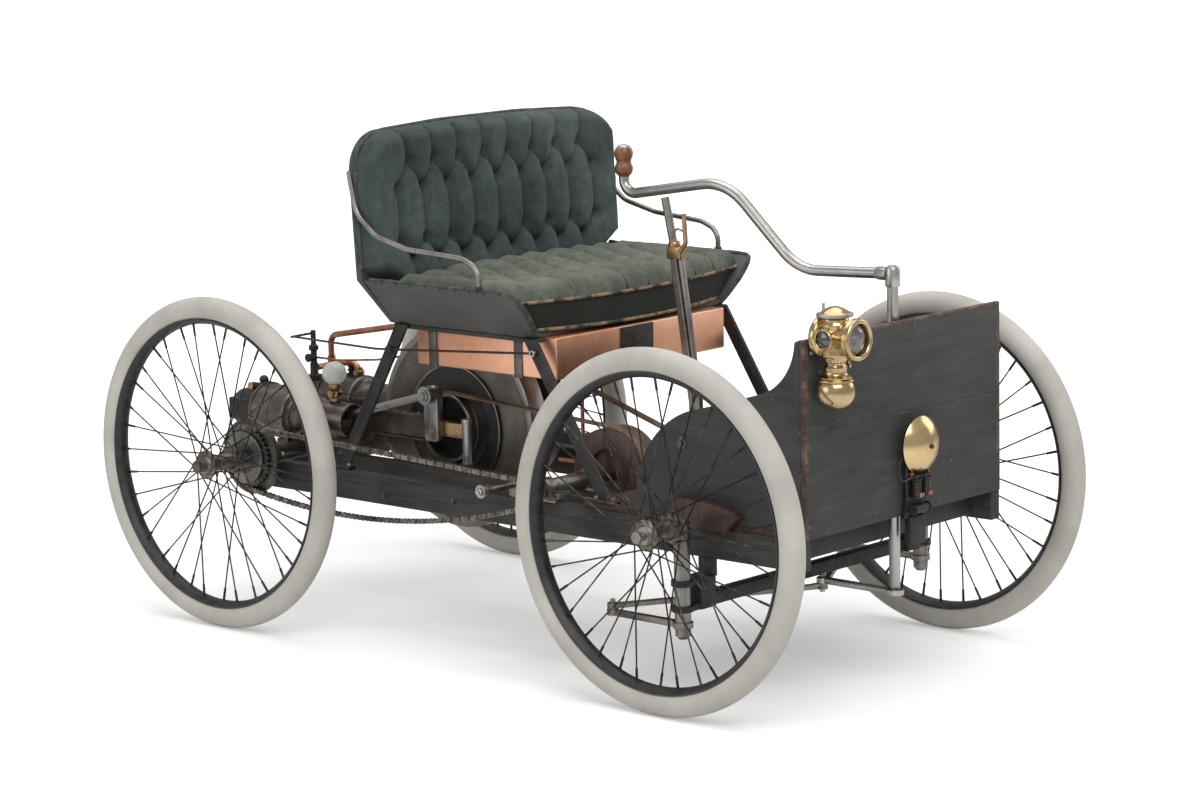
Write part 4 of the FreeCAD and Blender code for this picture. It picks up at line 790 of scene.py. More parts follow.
camera_at_photo()
stage()
world()
for name, place, aim_z, size, power in LIGHTS:
    lamp_panel(name, place, (0, 0, aim_z), size, power)
bpy.context.scene.view_settings.view_transform = "Standard"


# Wheels

RIM_SEAT_R = 0.311
TYRE_R = 0.025
SPOKES = 36
CROSSING = 72
FLANGE_R = 0.0265


def tyre():
    none_selected()
    bpy.ops.mesh.primitive_torus_add(
        major_segments=144, minor_segments=28, major_radius=WHEEL_R - TYRE_R, minor_radius=TYRE_R - 0.0001,
        rotation=(0, math.pi / 2, 0))
    return smoothed(settled(bpy.context.object, "tyre_model"), 60)


def wire_wheel(side):
    """Rim, laced spokes with nipples and flanged hub, about the origin; side is the way the nut faces."""
    seat = RIM_SEAT_R - 0.0002
    outline = hoop(
        -18.5, -3.5, -18.5, 0, -12, -0.5, 0, -2, 12, -0.5, 18.5, 0, 18.5, -3.5, 13, -8.5, 6, -12.5,
        -6, -12.5, -13, -8.5)
    rim = turned("rim", [(x, seat + rise) for x, rise in outline], axis="X", sides=144)
    model = turned("spoke", solid(0, 1.6, 900, 1.6, 905, 2.6, 1000, 2.8), sides=8)
    laced = []
    for k in range(SPOKES):
        outer = k % 2 == 0
        lead = 1 if k // 2 % 2 == 0 else -1
        angle = 2 * math.pi * k / SPOKES
        root = angle + lead * math.radians(CROSSING)
        x_hub = (0.03 if outer else -0.04) + 0.002 * lead
        x_rim = 0.004 if outer else -0.004
        hub = Vector((x_hub * side, FLANGE_R * math.cos(root), FLANGE_R * math.sin(root)))
        end = Vector((x_rim * side, (seat - 0.009) * math.cos(angle), (seat - 0.009) * math.sin(angle)))
        laced.append(pointing(hub, end - hub) @ Matrix.Diagonal((1, 1, (end - hub).length, 1)))
    hub_rings = solid(
        -48, 18.5, -47, 19.5, -42.5, 20.5, -42, 29.5, -41.5, 30.5, -38.5, 30.5, -38, 29.5, -37.5, 20.5,
        -30, 18, 0, 16.5, 20, 18, 27.5, 20.5, 28, 29.5, 28.5, 30.5, 31.5, 30.5, 32, 29.5, 32.5, 21.5,
        34.5, 20.5, 37.5, 19.5, 38.5, 18)
    return rim, repeated("spokes", model, laced), turned("hub", hub_rings, axis=FACING[side], sides=56)


def hex_nut(name, base, axis, height, across):
    """A nut with chamfered corners and a stub of its bolt, in shares of its height and half its width."""
    shares = [
        (0, 0), (0, 0.94), (0.12, 1), (0.85, 1), (1, 0.9), (1, 0.55), (1.25, 0.55), (1.32, 0.44), (1.32, 0)]
    return turned(name, [(height * h, across / 2 * r) for h, r in shares], base, axis, 6, 30)


def build_wheels():
    rubber = tyre()
    for end, y in (("front", -AXLE_Y), ("rear", AXLE_Y)):
        for side, word in SIDES:
            at = Matrix.Translation((side * TRACK_HALF, y, WHEEL_R))
            body = f"front_wheel_{word}" if end == "front" else "rear_axle"
            rim, net, hub = wire_wheel(side)
            rim.name = f"black_rim_{end}_{word}"
            finished(moved(rim, at), ENAMEL, "wheel_black", f"wheel_{end}_{word}", body=body)
            net.name = f"laced_spokes_{end}_{word}"
            finished(moved(net, at), SPOKE_STEEL, "wheel_black", body=body)
            hub.name = f"hub_{end}_{word}"
            finished(moved(hub, at), HUB_STEEL, "steel_dark", body=body)
            finished(
                twin(rubber, f"pale_tyre_{end}_{word}", at), RUBBER, "tyre", f"tyre_{end}_{word}",
                body=body)
    bpy.data.objects.remove(rubber)


build_wheels()


# Seat

SEAT_BACK = 0.232
SEAT_LOW = 0.668
SIDE_TOP = 0.766
SEAT_FRONT = -0.163
LEAN_RATIO = 24 / 410
LEAN = math.atan(LEAN_RATIO)
OUTWARD = Vector((0, -math.cos(LEAN), math.sin(LEAN)))
UPWARD = Vector((0, math.sin(LEAN), math.cos(LEAN)))
PLEAT = 0.0745
BACK_HALF = 0.3765
BACK_CORNER = 0.085
SHOULDER = 1.068
ARCH = 0.008
BACK_FOOT = 0.736
BARE_BUTTONS = (30, 26, 9)
FLARE = 0.898
SEAT_HALF = 0.349
SEAT_FOOT = 0.681
CORD_R = 0.0036
CREASE_R = 0.042
TUFT_R = 0.013
CLOTH_FOLDS = ((46, 46, 0, 0.05), (120, 120, 0, 0.022), (30, 12, 5, 0.06))
BACK_ROWS = ((1.0, 8), (0.947, 9), (0.838, 9), (0.796, 8))
BACK_DEPTH = 0.034
BACK_PUFF = 0.0265
BACK_EDGE = 0.007
SEAT_CREST = 0.764
SEAT_PUFF = 0.0175
SEAT_EDGE = 0.742
SEAT_CROWN = 0.008
SEAT_BOW = 0.03


def on_back(x, depth, z):
    """A place on the seat back: x across, z up along the board, depth out from the board."""
    return Vector((x, SEAT_BACK, SEAT_LOW)) + OUTWARD * depth + UPWARD * (z - SEAT_LOW)


def back_top(x):
    inner = BACK_HALF - BACK_CORNER
    if abs(x) < inner:
        return SHOULDER + ARCH * (1 - (x / inner) ** 2)
    return SHOULDER - BACK_CORNER + math.sqrt(max(0.0, BACK_CORNER ** 2 - (abs(x) - inner) ** 2))


def back_low(x):
    inner = 0.287
    return BACK_FOOT if abs(x) < inner else BACK_FOOT + (abs(x) - inner) / (BACK_HALF - inner) * 0.056


def gap_to(line, u, v):
    """Distance from a point to a straight crease."""
    (u0, v0), (u1, v1) = line
    run_u, run_v = u1 - u0, v1 - v0
    along = max(0.0, min(1.0, ((u - u0) * run_u + (v - v0) * run_v) / (run_u ** 2 + run_v ** 2)))
    return math.hypot(u - u0 - along * run_u, v - v0 - along * run_v)


def roll(distance, reach):
    """Round stuffed profile: 0 in a crease, 1 at full height."""
    return math.sqrt(max(0.0, 1 - (1 - min(distance / reach, 1)) ** 2))


def puffed(u, v, creases, buttons, seed):
    """Share of the full height at one place of a buttoned surface, with small folds and tucks."""
    crease = min(gap_to(line, u, v) for line in creases)
    button = min(math.hypot(u - a, v - b) for a, b in buttons)
    folds = sum(
        height * noise.noise(Vector((u * across, v * down, seed + shift)))
        for across, down, shift, height in CLOTH_FOLDS)
    return roll(crease, CREASE_R) * 0.82 + 0.08 - math.exp(-(button / TUFT_R) ** 2) * 0.62 + folds


def button_row(count, height):
    return [((k - (count - 1) / 2) * PLEAT, height) for k in range(count)]


def back_pattern():
    """Creases and buttons of the seat back: two staggered rows above, long pleats, two rows below."""
    first, second, third, fourth = (button_row(count, z) for z, count in BACK_ROWS)
    creases = [((x, z), (x * 1.08, 1.1)) for x, z in first] + [((x, z), (x, 0.7)) for x, z in fourth]
    creases += list(zip(second, third))
    for k in range(8):
        creases += [
            (first[k], second[k]), (first[k], second[k + 1]), (fourth[k], third[k]),
            (fourth[k], third[k + 1])]
    return creases, first + second + third + fourth


def quilted(name, across, down, spot, foot):
    """A stuffed form: a grid whose points are set by spot, its border drawn back to foot and closed."""
    none_selected()
    bpy.ops.mesh.primitive_grid_add(x_subdivisions=across, y_subdivisions=down, size=2)
    piece = bpy.context.object
    for corner in piece.data.vertices:
        corner.co = spot(corner.co.x, corner.co.y)
    count = len(piece.data.vertices)
    bpy.ops.object.mode_set(mode="EDIT")
    bpy.ops.mesh.select_mode(type="EDGE")
    bpy.ops.mesh.select_all(action="DESELECT")
    bpy.ops.mesh.select_non_manifold()
    bpy.ops.mesh.extrude_edges_move(TRANSFORM_OT_translate={"value": (0, 0, -0.001)})
    bpy.ops.mesh.edge_face_add()
    bpy.ops.object.mode_set(mode="OBJECT")
    for corner in piece.data.vertices[count:]:
        corner.co = foot(corner.co)
    editing(piece)
    bpy.ops.mesh.select_mode(type="VERT")
    bpy.ops.mesh.select_all(action="SELECT")
    edited()
    return smoothed(settled(piece, name), 60)


def crease_shade_lines(name, creases, surface):
    """Painted shade: thin near-black lines laid along the creases where the cloth is drawn together; surface
    gives None off the form.
    """
    threads = []
    for (u0, v0), (u1, v1) in creases:
        route = [surface(u0 + (u1 - u0) * k / 12, v0 + (v1 - v0) * k / 12) for k in range(13)]
        route = [place for place in route if place is not None]
        if len(route) > 2:
            threads.append(piped("fold", route, 0.0012, 3, "POLY", 1))
    finished(joined(name, threads), CREASE_SHADE, "cloth")


def tuft(axis):
    rings = solid(0, 6, 1.8, 6.2, 4.2, 4.2, 5.2, 0)
    return turned("knob", rings, axis=axis, sides=16)


def build_back_cushion():
    creases, buttons = back_pattern()

    def height_at(x, z):
        return BACK_DEPTH + BACK_PUFF * puffed(x, z, creases, buttons, 1.7)

    def depth_at(x, z):
        edge = min(back_top(x) - z, z - back_low(x), (BACK_HALF - abs(x)) * 1.2)
        return BACK_EDGE + (height_at(x, z) - BACK_EDGE) * roll(edge, 0.028)

    def spot(u, v):
        x = u * BACK_HALF
        low, top = back_low(x), back_top(x)
        z = low + (v + 1) / 2 * (top - low)
        return on_back(x, depth_at(x, z), z)

    def on_crease(x, z):
        if back_low(x) + 0.002 < z < back_top(x) - 0.001:
            return on_back(x, depth_at(x, z) + 0.0026, z)
        return None

    def foot(place):
        depth = (place - Vector((0, SEAT_BACK, SEAT_LOW))).dot(OUTWARD)
        return place - OUTWARD * (depth - 0.0008)

    pad = quilted("back_cushion_cloth", 250, 110, spot, foot)
    finished(pad, BACK_CLOTH, "cloth", "back_cushion")
    crease_shade_lines("back_crease_shade", creases, on_crease)
    places = [Matrix.Translation(on_back(x, height_at(x, z) - 0.0005, z)) for x, z in buttons]
    bare = [places.pop(number) for number in BARE_BUTTONS]
    finished(repeated("back_buttons", tuft("-Y"), places), BACK_CLOTH, "cloth")
    finished(repeated("bare_back_buttons", tuft("-Y"), bare), BINDING, "cloth")


def seat_half(z):
    """Half the width between the flared side boards, less a little room."""
    return 0.284 + (z - 0.6803) * FLARE


def build_seat_cushion():
    front, rear = -0.159, 0.168
    rows = [-0.088, -0.022, 0.044, 0.11]
    buttons = [button for y, count in zip(rows, (8, 9, 8, 9)) for button in button_row(count, y)]

    def uneven(place):
        """The tufts are tied by hand, so each sits a little off its place."""
        x, y = place
        return (x + 0.005 * math.sin(x * 61 + y * 170), y + 0.005 * math.sin(x * 83 + y * 90 + 2))

    creases = [
        (a, b) for a in buttons for b in buttons
        if abs(b[1] - a[1] - 0.066) < 0.002 and abs(abs(b[0] - a[0]) - PLEAT / 2) < 0.002]
    creases += [((x, y), (x, front - 0.01)) for x, y in buttons if y == rows[0]]
    creases += [((x, y), (x, rear + 0.01)) for x, y in buttons if y == rows[-1]]
    creases = [(uneven(a), uneven(b)) for a, b in creases]
    buttons = [uneven(place) for place in buttons]

    def forward(x, y):
        """How far the stuffing pushes the front edge out, most in the middle."""
        return SEAT_BOW * (1 - (x / SEAT_HALF) ** 2) * max(0.0, 1 - (y - front) / 0.16) ** 1.5

    def spot(u, v):
        x = u * SEAT_HALF
        y = front + (v + 1) / 2 * (rear - front)
        edge = min(y - front, rear - y, SEAT_HALF - abs(x))
        crown = SEAT_CROWN * (1 - (x / SEAT_HALF) ** 2)
        rise = SEAT_CREST + SEAT_PUFF * puffed(x, y, creases, buttons, 4.2) + crown - SEAT_EDGE
        out = forward(x, y)
        return Vector((x, y - out, SEAT_EDGE - 0.2 * out + rise * roll(edge, 0.022)))

    def foot(place):
        share = seat_half(SEAT_FOOT) / SEAT_HALF
        return Vector((place.x * share, place.y, SEAT_FOOT))

    pad = quilted("seat_cushion_cloth", 220, 90, spot, foot)
    finished(pad, SEAT_CLOTH, "cloth", "seat_cushion")

    def on_top(x, y):
        return spot(x / SEAT_HALF, (y - front) / (rear - front) * 2 - 1)

    def on_crease(x, y):
        if front - 0.001 < y < rear and abs(x) < 0.345:
            return on_top(x, y) + Vector((0, 0, 0.0016))
        return None

    crease_shade_lines("seat_crease_shade", creases, on_crease)
    places = [Matrix.Translation(on_top(x, y)) for x, y in buttons]
    finished(repeated("seat_buttons", tuft("Z"), places), SEAT_CLOTH, "cloth")

    def front_edge(reach, z, out):
        """Route along one side, the bowed front and the other side."""
        route = [(-reach, rear - 0.05, z)]
        for k in range(17):
            x = reach * (k / 8 - 1)
            bow = forward(x * SEAT_HALF / reach, front)
            route.append((x, front - out - bow, z - 0.2 * bow))
        return route + [(reach, rear - 0.05, z)]

    piping = tube("seat_top_piping", front_edge(0.3495, 0.7435, 0.001), CORD_R, 0.012, 3, 5)
    lower = tube("seat_low_piping", front_edge(seat_half(0.684), 0.6845, 0.0015), CORD_R, 0.012, 3, 5)
    finished(joined("seat_piping", [piping, lower]), WELT, "cloth")


def build_bindings():
    """Rolled cloth edge on the side boards and a cord round the seat back."""
    pieces = []
    for side in (1, -1):
        route = []
        for lean_y, z in (
                (0.0, 0.672), (-0.007, 0.686), (-0.013, 0.704), (-0.018, 0.722), (-0.0195, 0.74),
                (-0.0185, 0.753), (-0.0145, 0.7615), (-0.006, 0.7655)):
            route.append((side * (0.3702 - (SIDE_TOP - z) * FLARE), SEAT_FRONT + lean_y - 0.0008, z))
        for k in range(15):
            y = SEAT_FRONT + 0.012 + k * 0.0265
            wave = 0.0009 * math.sin(k * 2.3)
            route.append((side * (0.3695 + wave), y, SIDE_TOP + 0.0012 + wave))
        pieces.append(tube(f"side_binding_{side}", route, 0.0052, 0.02, 3, 3))
        lining = plate(f"lining_{side}", [
            (-0.16, 0.7), (-0.16, 0.757), (0.205, 0.757), (0.205, 0.7)], "X", 0.0, 0.003, 0.001)
        shear = Matrix.Identity(4)
        shear[0][2] = FLARE
        moved(lining, Matrix.Translation((0.3125 - 0.7 * FLARE - 0.0035, 0, 0)) @ shear)
        if side < 0:
            moved(lining, MIRROR)
            lining.data.flip_normals()
        pieces.append(lining)
    reach = BACK_HALF + 0.001
    edge = [
        (reach, 0.79), (reach, 0.99), (reach - 0.012, 1.035), (reach - 0.045, 1.06), (reach - 0.09, 1.068),
        (0.12, 1.0755)]
    edge = [(-x, z) for x, z in edge] + edge[::-1]
    for depth in (0.004, -0.003):
        pieces.append(tube("back_binding", [on_back(x, depth, z) for x, z in edge], 0.0044, 0.03, 3, 6))
    finished(joined("cloth_bindings", pieces), BINDING, "cloth")


build_back_cushion()
build_seat_cushion()
build_bindings()


# Routes with true bends

ARC_STEP = 0.12


def arced(points, radii):
    """Straight runs joined by tangent arcs, as closely spaced places."""
    route = [Vector(p) for p in points]
    out = [route[0]]
    for before, here, after, radius in zip(route, route[1:], route[2:], radii):
        first = (here - before).normalized()
        second = (after - here).normalized()
        turn = first.angle(second)
        inward = (second - first * first.dot(second)).normalized()
        centre = here - first * radius * math.tan(turn / 2) + inward * radius
        count = max(2, round(turn / ARC_STEP))
        for k in range(count + 1):
            a = turn * k / count
            out.append(centre - inward * radius * math.cos(a) + first * radius * math.sin(a))
    return out + [route[-1]]


def swept(name, points, radii, radius, sides=5):
    return piped(name, arced(points, radii), radius, sides, "POLY", 1)


def spaced(centre, radius, count, axis, start=0.0):
    """Places on a circle about an axis along X, Y or Z."""
    out = []
    for k in range(count):
        a = start + 2 * math.pi * k / count
        c, s = radius * math.cos(a), radius * math.sin(a)
        out.append(Vector(centre) + Vector({"X": (0, c, s), "Y": (c, 0, s), "Z": (c, s, 0)}[axis]))
    return out


def bolts(name, places, axis, across, height):
    """Bolt heads of one size, standing on their places along an axis."""
    model = turned(name, [
        (-0.001, 0), (-0.001, across / 2), (height * 0.7, across / 2), (height, across * 0.38),
        (height * 1.1, 0)], axis=axis, sides=6, angle=30)
    return repeated(name, model, [Matrix.Translation(p) for p in places])


def screws(name, places, axis, radius=0.004):
    """Round slotted screw heads."""
    model = turned(name, [
        (-0.001, 0), (-0.001, radius), (radius * 0.12, radius), (radius * 0.42, radius * 0.6),
        (radius * 0.5, 0)], axis=axis, sides=14, angle=50)
    return repeated(name, model, [Matrix.Translation(p) for p in places])


def rounded(rings, steps=4):
    """More rings between the given (height, radius) ones, on a smooth line."""
    out = []
    last = len(rings) - 1
    for k in range(last):
        p = [rings[max(k - 1, 0)], rings[k], rings[k + 1], rings[min(k + 2, last)]]
        for n in range(steps):
            t = n / steps
            out.append(tuple(
                0.5 * (
                    2 * b + (c - a) * t + (2 * a - 5 * b + 4 * c - d) * t * t
                    + (3 * b - a - 3 * c + d) * t ** 3)
                for a, b, c, d in zip(*p)))
    return out + [rings[-1]]


# Steering, lamp and bell

POST_Y = -0.838
TILLER_END = -0.153
ARM_LENGTH = 0.18
ARM_LOW = 0.1826
ARM_THICK = 0.012
GRIP_LOW = 0.967
LAMP = (-0.27, -0.908, 0.738)
BELL = (0.022, 0.482)
GONG_FACE = -0.888
GONG_R = 0.0775
GONG_INNER_R = 0.0745


def build_tiller():
    """Post in its collars, tee piece, swept tube, and wooden grip with a metal cap."""
    tube_part = swept("tiller_tube", [
        (0, POST_Y + 0.012, 0.815), (0, -0.607, 0.806), (0, -0.425, 0.972), (0, TILLER_END, 0.929),
        (0, TILLER_END, 0.9667)], [0.12, 0.13, 0.028], 0.011, 7)
    post = turned("post", solid(
        182.6, 10.5, 183.4, 11, 829, 11, 830, 8.5, 831.5, 8), (0, POST_Y, 0), sides=32)
    tee = turned("tee", solid(790.5, 13.5, 792, 14.5, 826.5, 14.5, 828, 13.5), (0, POST_Y, 0), sides=32)
    socket = turned("socket", solid(10, 13.5, 34, 13.2, 36, 12), (0, POST_Y, 0.8143), "Y", 32)
    top = ARM_LOW + ARM_THICK
    arm = plate("drop_arm", [
        (-0.012, POST_Y - 0.013), (0.012, POST_Y - 0.013), (0.008, POST_Y + 0.02), (0.0075, POST_Y + 0.168),
        (-0.0075, POST_Y + 0.168), (-0.008, POST_Y + 0.02)], "Z", ARM_LOW, top, 0.0015)
    boss = turned("boss", solid(0, 16.5, 1, 18, 11, 18, 12, 16.5), (0, POST_Y, ARM_LOW), sides=32)
    eye = turned(
        "eye", solid(-18, 5, 0, 5, 0, 11, 1, 12, 11, 12, 12, 11), (0, POST_Y + ARM_LENGTH, ARM_LOW),
        sides=28)
    nut = hex_nut("stud_nut", (0, POST_Y + ARM_LENGTH, top), "Z", 0.006, 0.015)
    finished(joined("tiller_steel", [
        tube_part, post, tee, socket, arm, boss, eye, nut]), POLISHED, "steel", "steering_column",
        body="steering")
    swell = rounded(
        mm(0, 10.5, 7.44, 17.4, 18.6, 18.6, 29.76, 15, 39.68, 18.4, 49.6, 19.2, 58.28, 15.5, 61.38, 8), 5)
    grip = turned("wooden_grip", [(0, 0), *swell, (0.062, 0)], (0, TILLER_END, GRIP_LOW), sides=48, angle=60)
    finished(grip, GRIP_WOOD, "grip_wood", "tiller_grip", body="steering")
    cap = turned("grip_cap", solid(
        58, 13, 60, 13.5, 62, 12.5, 64, 9, 65.2, 4.5, 65.5, 0), (0, TILLER_END, GRIP_LOW), sides=32)
    finished(cap, POLISHED, "grip_wood", body="steering")


def build_arm_rails():
    """A bent rod with a flattened eye on each side, and the nuts at its feet."""
    side, start_z = 0.3838, 0.985
    start_y = SEAT_BACK + (start_z - SEAT_LOW) * LEAN_RATIO + 0.007
    rod = swept("arm_rail", [
        (side, start_y, start_z), (side, start_y - 0.018, start_z - 0.08),
        (side, start_y - 0.07, start_z - 0.123), (side, start_y - 0.16, start_z - 0.145),
        (0.371, -0.045, 0.83), (0.371, -0.09, 0.812), (0.371, -0.09, 0.766)],
        [0.06, 0.06, 0.06, 0.06, 0.036], 0.0055, 5)
    eye = turned("eye", solid(-2, 6, 2, 6.4, 4, 5.5, 5, 0), (side - 0.002, start_y, start_z), "X", 24)
    half = joined("rail_half", [rod, eye])
    other = twin(half, "rail_other", MIRROR)
    finished(joined("bent_arm_rails", [half, other]), COLUMN, "iron_black", "arm_rails")
    feet = [turned(
        "foot", solid(0, 9.5, 1, 10.5, 9, 10.5, 10.5, 9.5), (s * 0.371, -0.09, 0.7665), sides=4, angle=30)
        for s in (1, -1)]
    finished(joined("rail_nuts", feet), IRON_BLACK, "iron_black")


def build_lamp():
    """Oil lamp: fount, vented barrel, capped chimney, lens in its bezel, faceted side glass and rear drum."""
    x, y, z = LAMP
    lens_z = z - 0.007
    body = turned("lamp_body", solid(
        -140, 16.5, -138.5, 20.5, -134, 26.5, -128, 31.8, -121.5, 35, -115, 36.6, -108, 37, -101, 36.2,
        -95, 34.5, -90.5, 31.8, -88.5, 30.5, -88, 34.5, -86.2, 35, -84.5, 34, -84, 30, -82, 32.2, -80, 32.2,
        -78.5, 28.5, -76.5, 24.5, -74, 22.2, -66.5, 21.5, -65, 22.8, -62, 22.8, -60.5, 20.5, -57.5, 18.8,
        -56, 20.5, -48, 21.5, -47, 24, -44.5, 24.5, -42, 26.8, -40, 28, -38, 28.4, -35, 28, 15, 28,
        18, 28.4, 20, 28, 22.5, 25.5, 25, 24.8, 26.2, 26.2, 28.5, 26.4, 30, 25, 33, 25, 34.5, 32.5,
        36, 33.5, 38.5, 33.5, 39.5, 32, 40, 29, 42.5, 26.2, 45.5, 22, 48.5, 16.5, 51, 10.5, 52.5, 4.5,
        53, 0), (x, y, z), sides=64, angle=50)
    bezel = turned("lamp_bezel", solid(
        0, 26.5, 30, 28.5, 36, 30.5, 40, 34.5, 42.5, 38.5, 44.5, 40, 47.5, 39.8, 50, 38.5, 52, 38.8,
        54.5, 40, 57, 39.7, 58.8, 38, 60, 36.2, 60.2, 34, 59.2, 31.8, 57.5, 30.3, 56.5, 30, 42.5, 30),
        (x, y, lens_z), "-Y", 72, 50)
    drum = turned("lamp_drum", solid(
        14, 28.5, 17, 34.5, 19, 38.5, 21.5, 40.2, 24, 40.5, 30, 40.5, 32.5, 40, 34.5, 37, 35.2, 30,
        35.7, 20, 36, 0), (x, y, lens_z), "Y", 64, 50)
    side = turned("lamp_side", solid(
        22, 21.5, 30, 19, 32.5, 19.5, 35, 20.3, 37.2, 20, 38.2, 19, 38, 17.8, 37, 17.2, 32, 17.2),
        (x, y, lens_z), "-X", 48, 50)
    arm = block("lamp_arm", (x - 0.011, y + 0.02, z - 0.04), (x + 0.011, PANEL_FACE, z - 0.022), 0.003, 3)
    knob = turned("lamp_knob", solid(18, 2, 36, 2, 36, 6, 40, 6.5, 41.5, 5), (x, y, z - 0.0635), "X", 20)
    beads = turned("bead", solid(0, 1.8, 0.8, 1.4, 1.2, 0), (0, 0, 0), "Z", 10)
    rim = repeated("beads", beads, [
        Matrix.Translation(p) for p in spaced((x, y, z + 0.0395), 0.0305, 40, "Z")])
    finished(joined("brass_lamp", [body, bezel, drum, side, arm, knob, rim]), BRASS, "brass", "lamp")
    vent = turned("vent", solid(0, 1.6, 0.6, 1.3, 0.8, 0), (0, 0, 0), "X", 10)
    vents = [
        Matrix.Translation((x, y, z - 0.0522)) @ Matrix.Rotation(2 * math.pi * k / 22, 4, "Z")
        @ Matrix.Translation((0.021, 0, 0)) for k in range(22)]
    finished(repeated("lamp_vents", vent, vents), IRON_BLACK, "brass")
    band = turned("cap_band", hoop(
        33.4, 32.8, 33.4, 34.2, 34.2, 35, 38.6, 35, 39.4, 34.2, 39.4, 32.8), (x, y, z), sides=64)
    pin = shaft("cap_pin", (x - 0.036, y, z + 0.037), (x + 0.046, y, z + 0.037), 0.0014, 12)
    rear = shaft("rear_pin", (x, y + 0.027, z + 0.028), (x, y + 0.027, z + 0.0565), 0.003, 16, 0.001)
    clamp = turned("clamp", solid(0, 8, 2, 9, 12, 9, 14, 8), (x - 0.018, y + 0.034, z - 0.034), "X", 24)
    screw = shaft(
        "clamp_screw", (x - 0.03, y + 0.036, z - 0.036), (x - 0.004, y + 0.036, z - 0.036), 0.0032, 16,
        0.001)
    finished(joined("lamp_steel", [band, pin, rear, clamp, screw]), POLISHED, "steel")
    lens = turned("lens", solid(
        42.8, 28.5, 44, 29.6, 47, 29, 50.5, 26.2, 54, 20.5, 56.2, 13, 57.2, 6, 57.5, 0), (x, y, lens_z),
        "-Y", 64, 70)
    jewel = turned("side_jewel", solid(
        32.2, 16, 34.5, 16.5, 37.5, 12, 38.8, 6, 39, 0), (x, y, lens_z), "-X", 8, 12)
    finished(lens, LENS, "glass", "lamp_glass")
    finished(jewel, JEWEL, "glass")


def build_bell():
    """Dished gong on its post, and the striker below it: two coils, hammer, contacts and wires."""
    x, z = BELL
    centre = 0.025 - GONG_R

    def dish(radius, heights):
        return [(h, math.sqrt(radius ** 2 - (h - centre) ** 2)) for h in heights]

    outer = dish(GONG_R, [0.001 + 0.024 * k / 14 for k in range(14)])
    inner = dish(GONG_INNER_R, [0.0015 + 0.02 * k / 6 for k in range(6, -1, -1)])
    rings = [(0.0219, 0), *inner, (0, 0.054), (-0.0008, 0.0556), (-0.0002, 0.057), *outer, (0.025, 0)]
    gong = turned("gong", rings, (x, GONG_FACE, z), "-Y", 96, 60)
    post = turned("gong_post", solid(0, 9, 3, 9.5, 5, 7, 43, 7), (x, PANEL_FACE, z), "-Y", 24)
    finished(joined("brass_gong", [gong, post]), GONG, "brass", "bell")
    pin = turned("gong_pin", solid(
        44, 5, 46.8, 5.2, 47.6, 3.4, 50, 3.2, 50.7, 2), (x, PANEL_FACE, z), "-Y", 24)
    base = plate("striker_base", [
        (x - 0.032, z - 0.11), (x + 0.026, z - 0.11), (x + 0.026, z - 0.034), (x + 0.012, z - 0.03),
        (x - 0.02, z - 0.03), (x - 0.034, z - 0.045)], "Y", -0.879, PANEL_FACE, 0.002)
    finished(pin, DULL, "steel")
    parts = [
        base,
        block("yoke", (x - 0.034, -0.899, z - 0.061), (x + 0.022, -0.882, z - 0.055), 0.001),
        block("post_bar", (x - 0.009, -0.9045, z - 0.104), (x - 0.005, -0.9015, z - 0.052), 0.0006),
        swept("hammer", [
            (x + 0.014, -0.893, z - 0.057), (x + 0.014, -0.893, z - 0.045), (x + 0.034, -0.886, z - 0.036)],
            [0.006], 0.0016, 3),
        plate("lower_base", [
            (x - 0.04, z - 0.142), (x + 0.03, z - 0.142), (x + 0.034, z - 0.112), (x + 0.026, z - 0.106),
            (x - 0.034, z - 0.106)], "Y", -0.877, PANEL_FACE, 0.002),
        turned("lower_coil", solid(
            -30, 11.5, -27, 11.5, -26.5, 9, 16.5, 9, 17, 11.5, 20, 11.5), (x, GONG_FACE, z - 0.124), "X",
            28),
        block("hanging_block", (x - 0.03, -0.884, 0.287), (x + 0.02, -0.8675, z - 0.138), 0.003, 3),
        shaft("contact_arm", (x - 0.044, -0.884, z - 0.104), (x - 0.044, -0.884, z - 0.04), 0.0022, 12),
        shaft("contact_foot", (x - 0.044, -0.884, z - 0.072), (x - 0.03, -0.876, z - 0.072), 0.003, 12)]
    for dx in (-0.02, 0.008):
        winding = [(-0.1, 0), (-0.1, 0.012), (-0.097, 0.012), (-0.0965, 0.01)]
        winding += [(-0.096 + k * 0.0012, 0.01 + 0.0006 * (k % 2)) for k in range(25)]
        winding += [(-0.0655, 0.012), (-0.062, 0.012), (-0.062, 0)]
        parts.append(turned("coil", winding, (x + dx, -0.891, z), sides=28))
    finished(joined("striker_iron", parts), IRON_BLACK, "iron_black", "bell_striker")
    terminals = [turned(
        "terminal", solid(0, 3.5, 4, 3.5, 5, 4.8, 9, 4.8, 10, 3, 12, 3), (x + dx, -0.88, z + dz), "-Y", 16)
        for dx, dz in ((-0.031, -0.054), (-0.024, -0.06), (0.02, -0.056), (0.023, -0.079))]
    terminals += [turned(
        "spring", solid(0, 3, 8, 3), (x + dx, -0.9015, z - 0.0975), "Z", 12)
        for dx in (-0.022, -0.014, 0.006, 0.012)]
    finished(joined("striker_copper", terminals), PIPE, "iron_black")
    wire = tube("striker_wire", [
        (x - 0.046, -0.8745, z - 0.02), (x - 0.058, -0.876, z - 0.046), (x - 0.052, -0.882, z - 0.066),
        (x - 0.034, -0.892, z - 0.058)], 0.0011, 0.02, 2, 6)
    finished(wire, DULL, "iron_black")


build_tiller()
build_arm_rails()
build_lamp()
build_bell()


# Chain

CHAIN_X = -0.366
CHAIN_PITCH = 0.0254
CHAIN_SAG = 0.05
REAR_WHEEL = (AXLE_Y, WHEEL_R, 0.066)
SMALL_WHEEL = (-0.196, 0.368, 0.027)


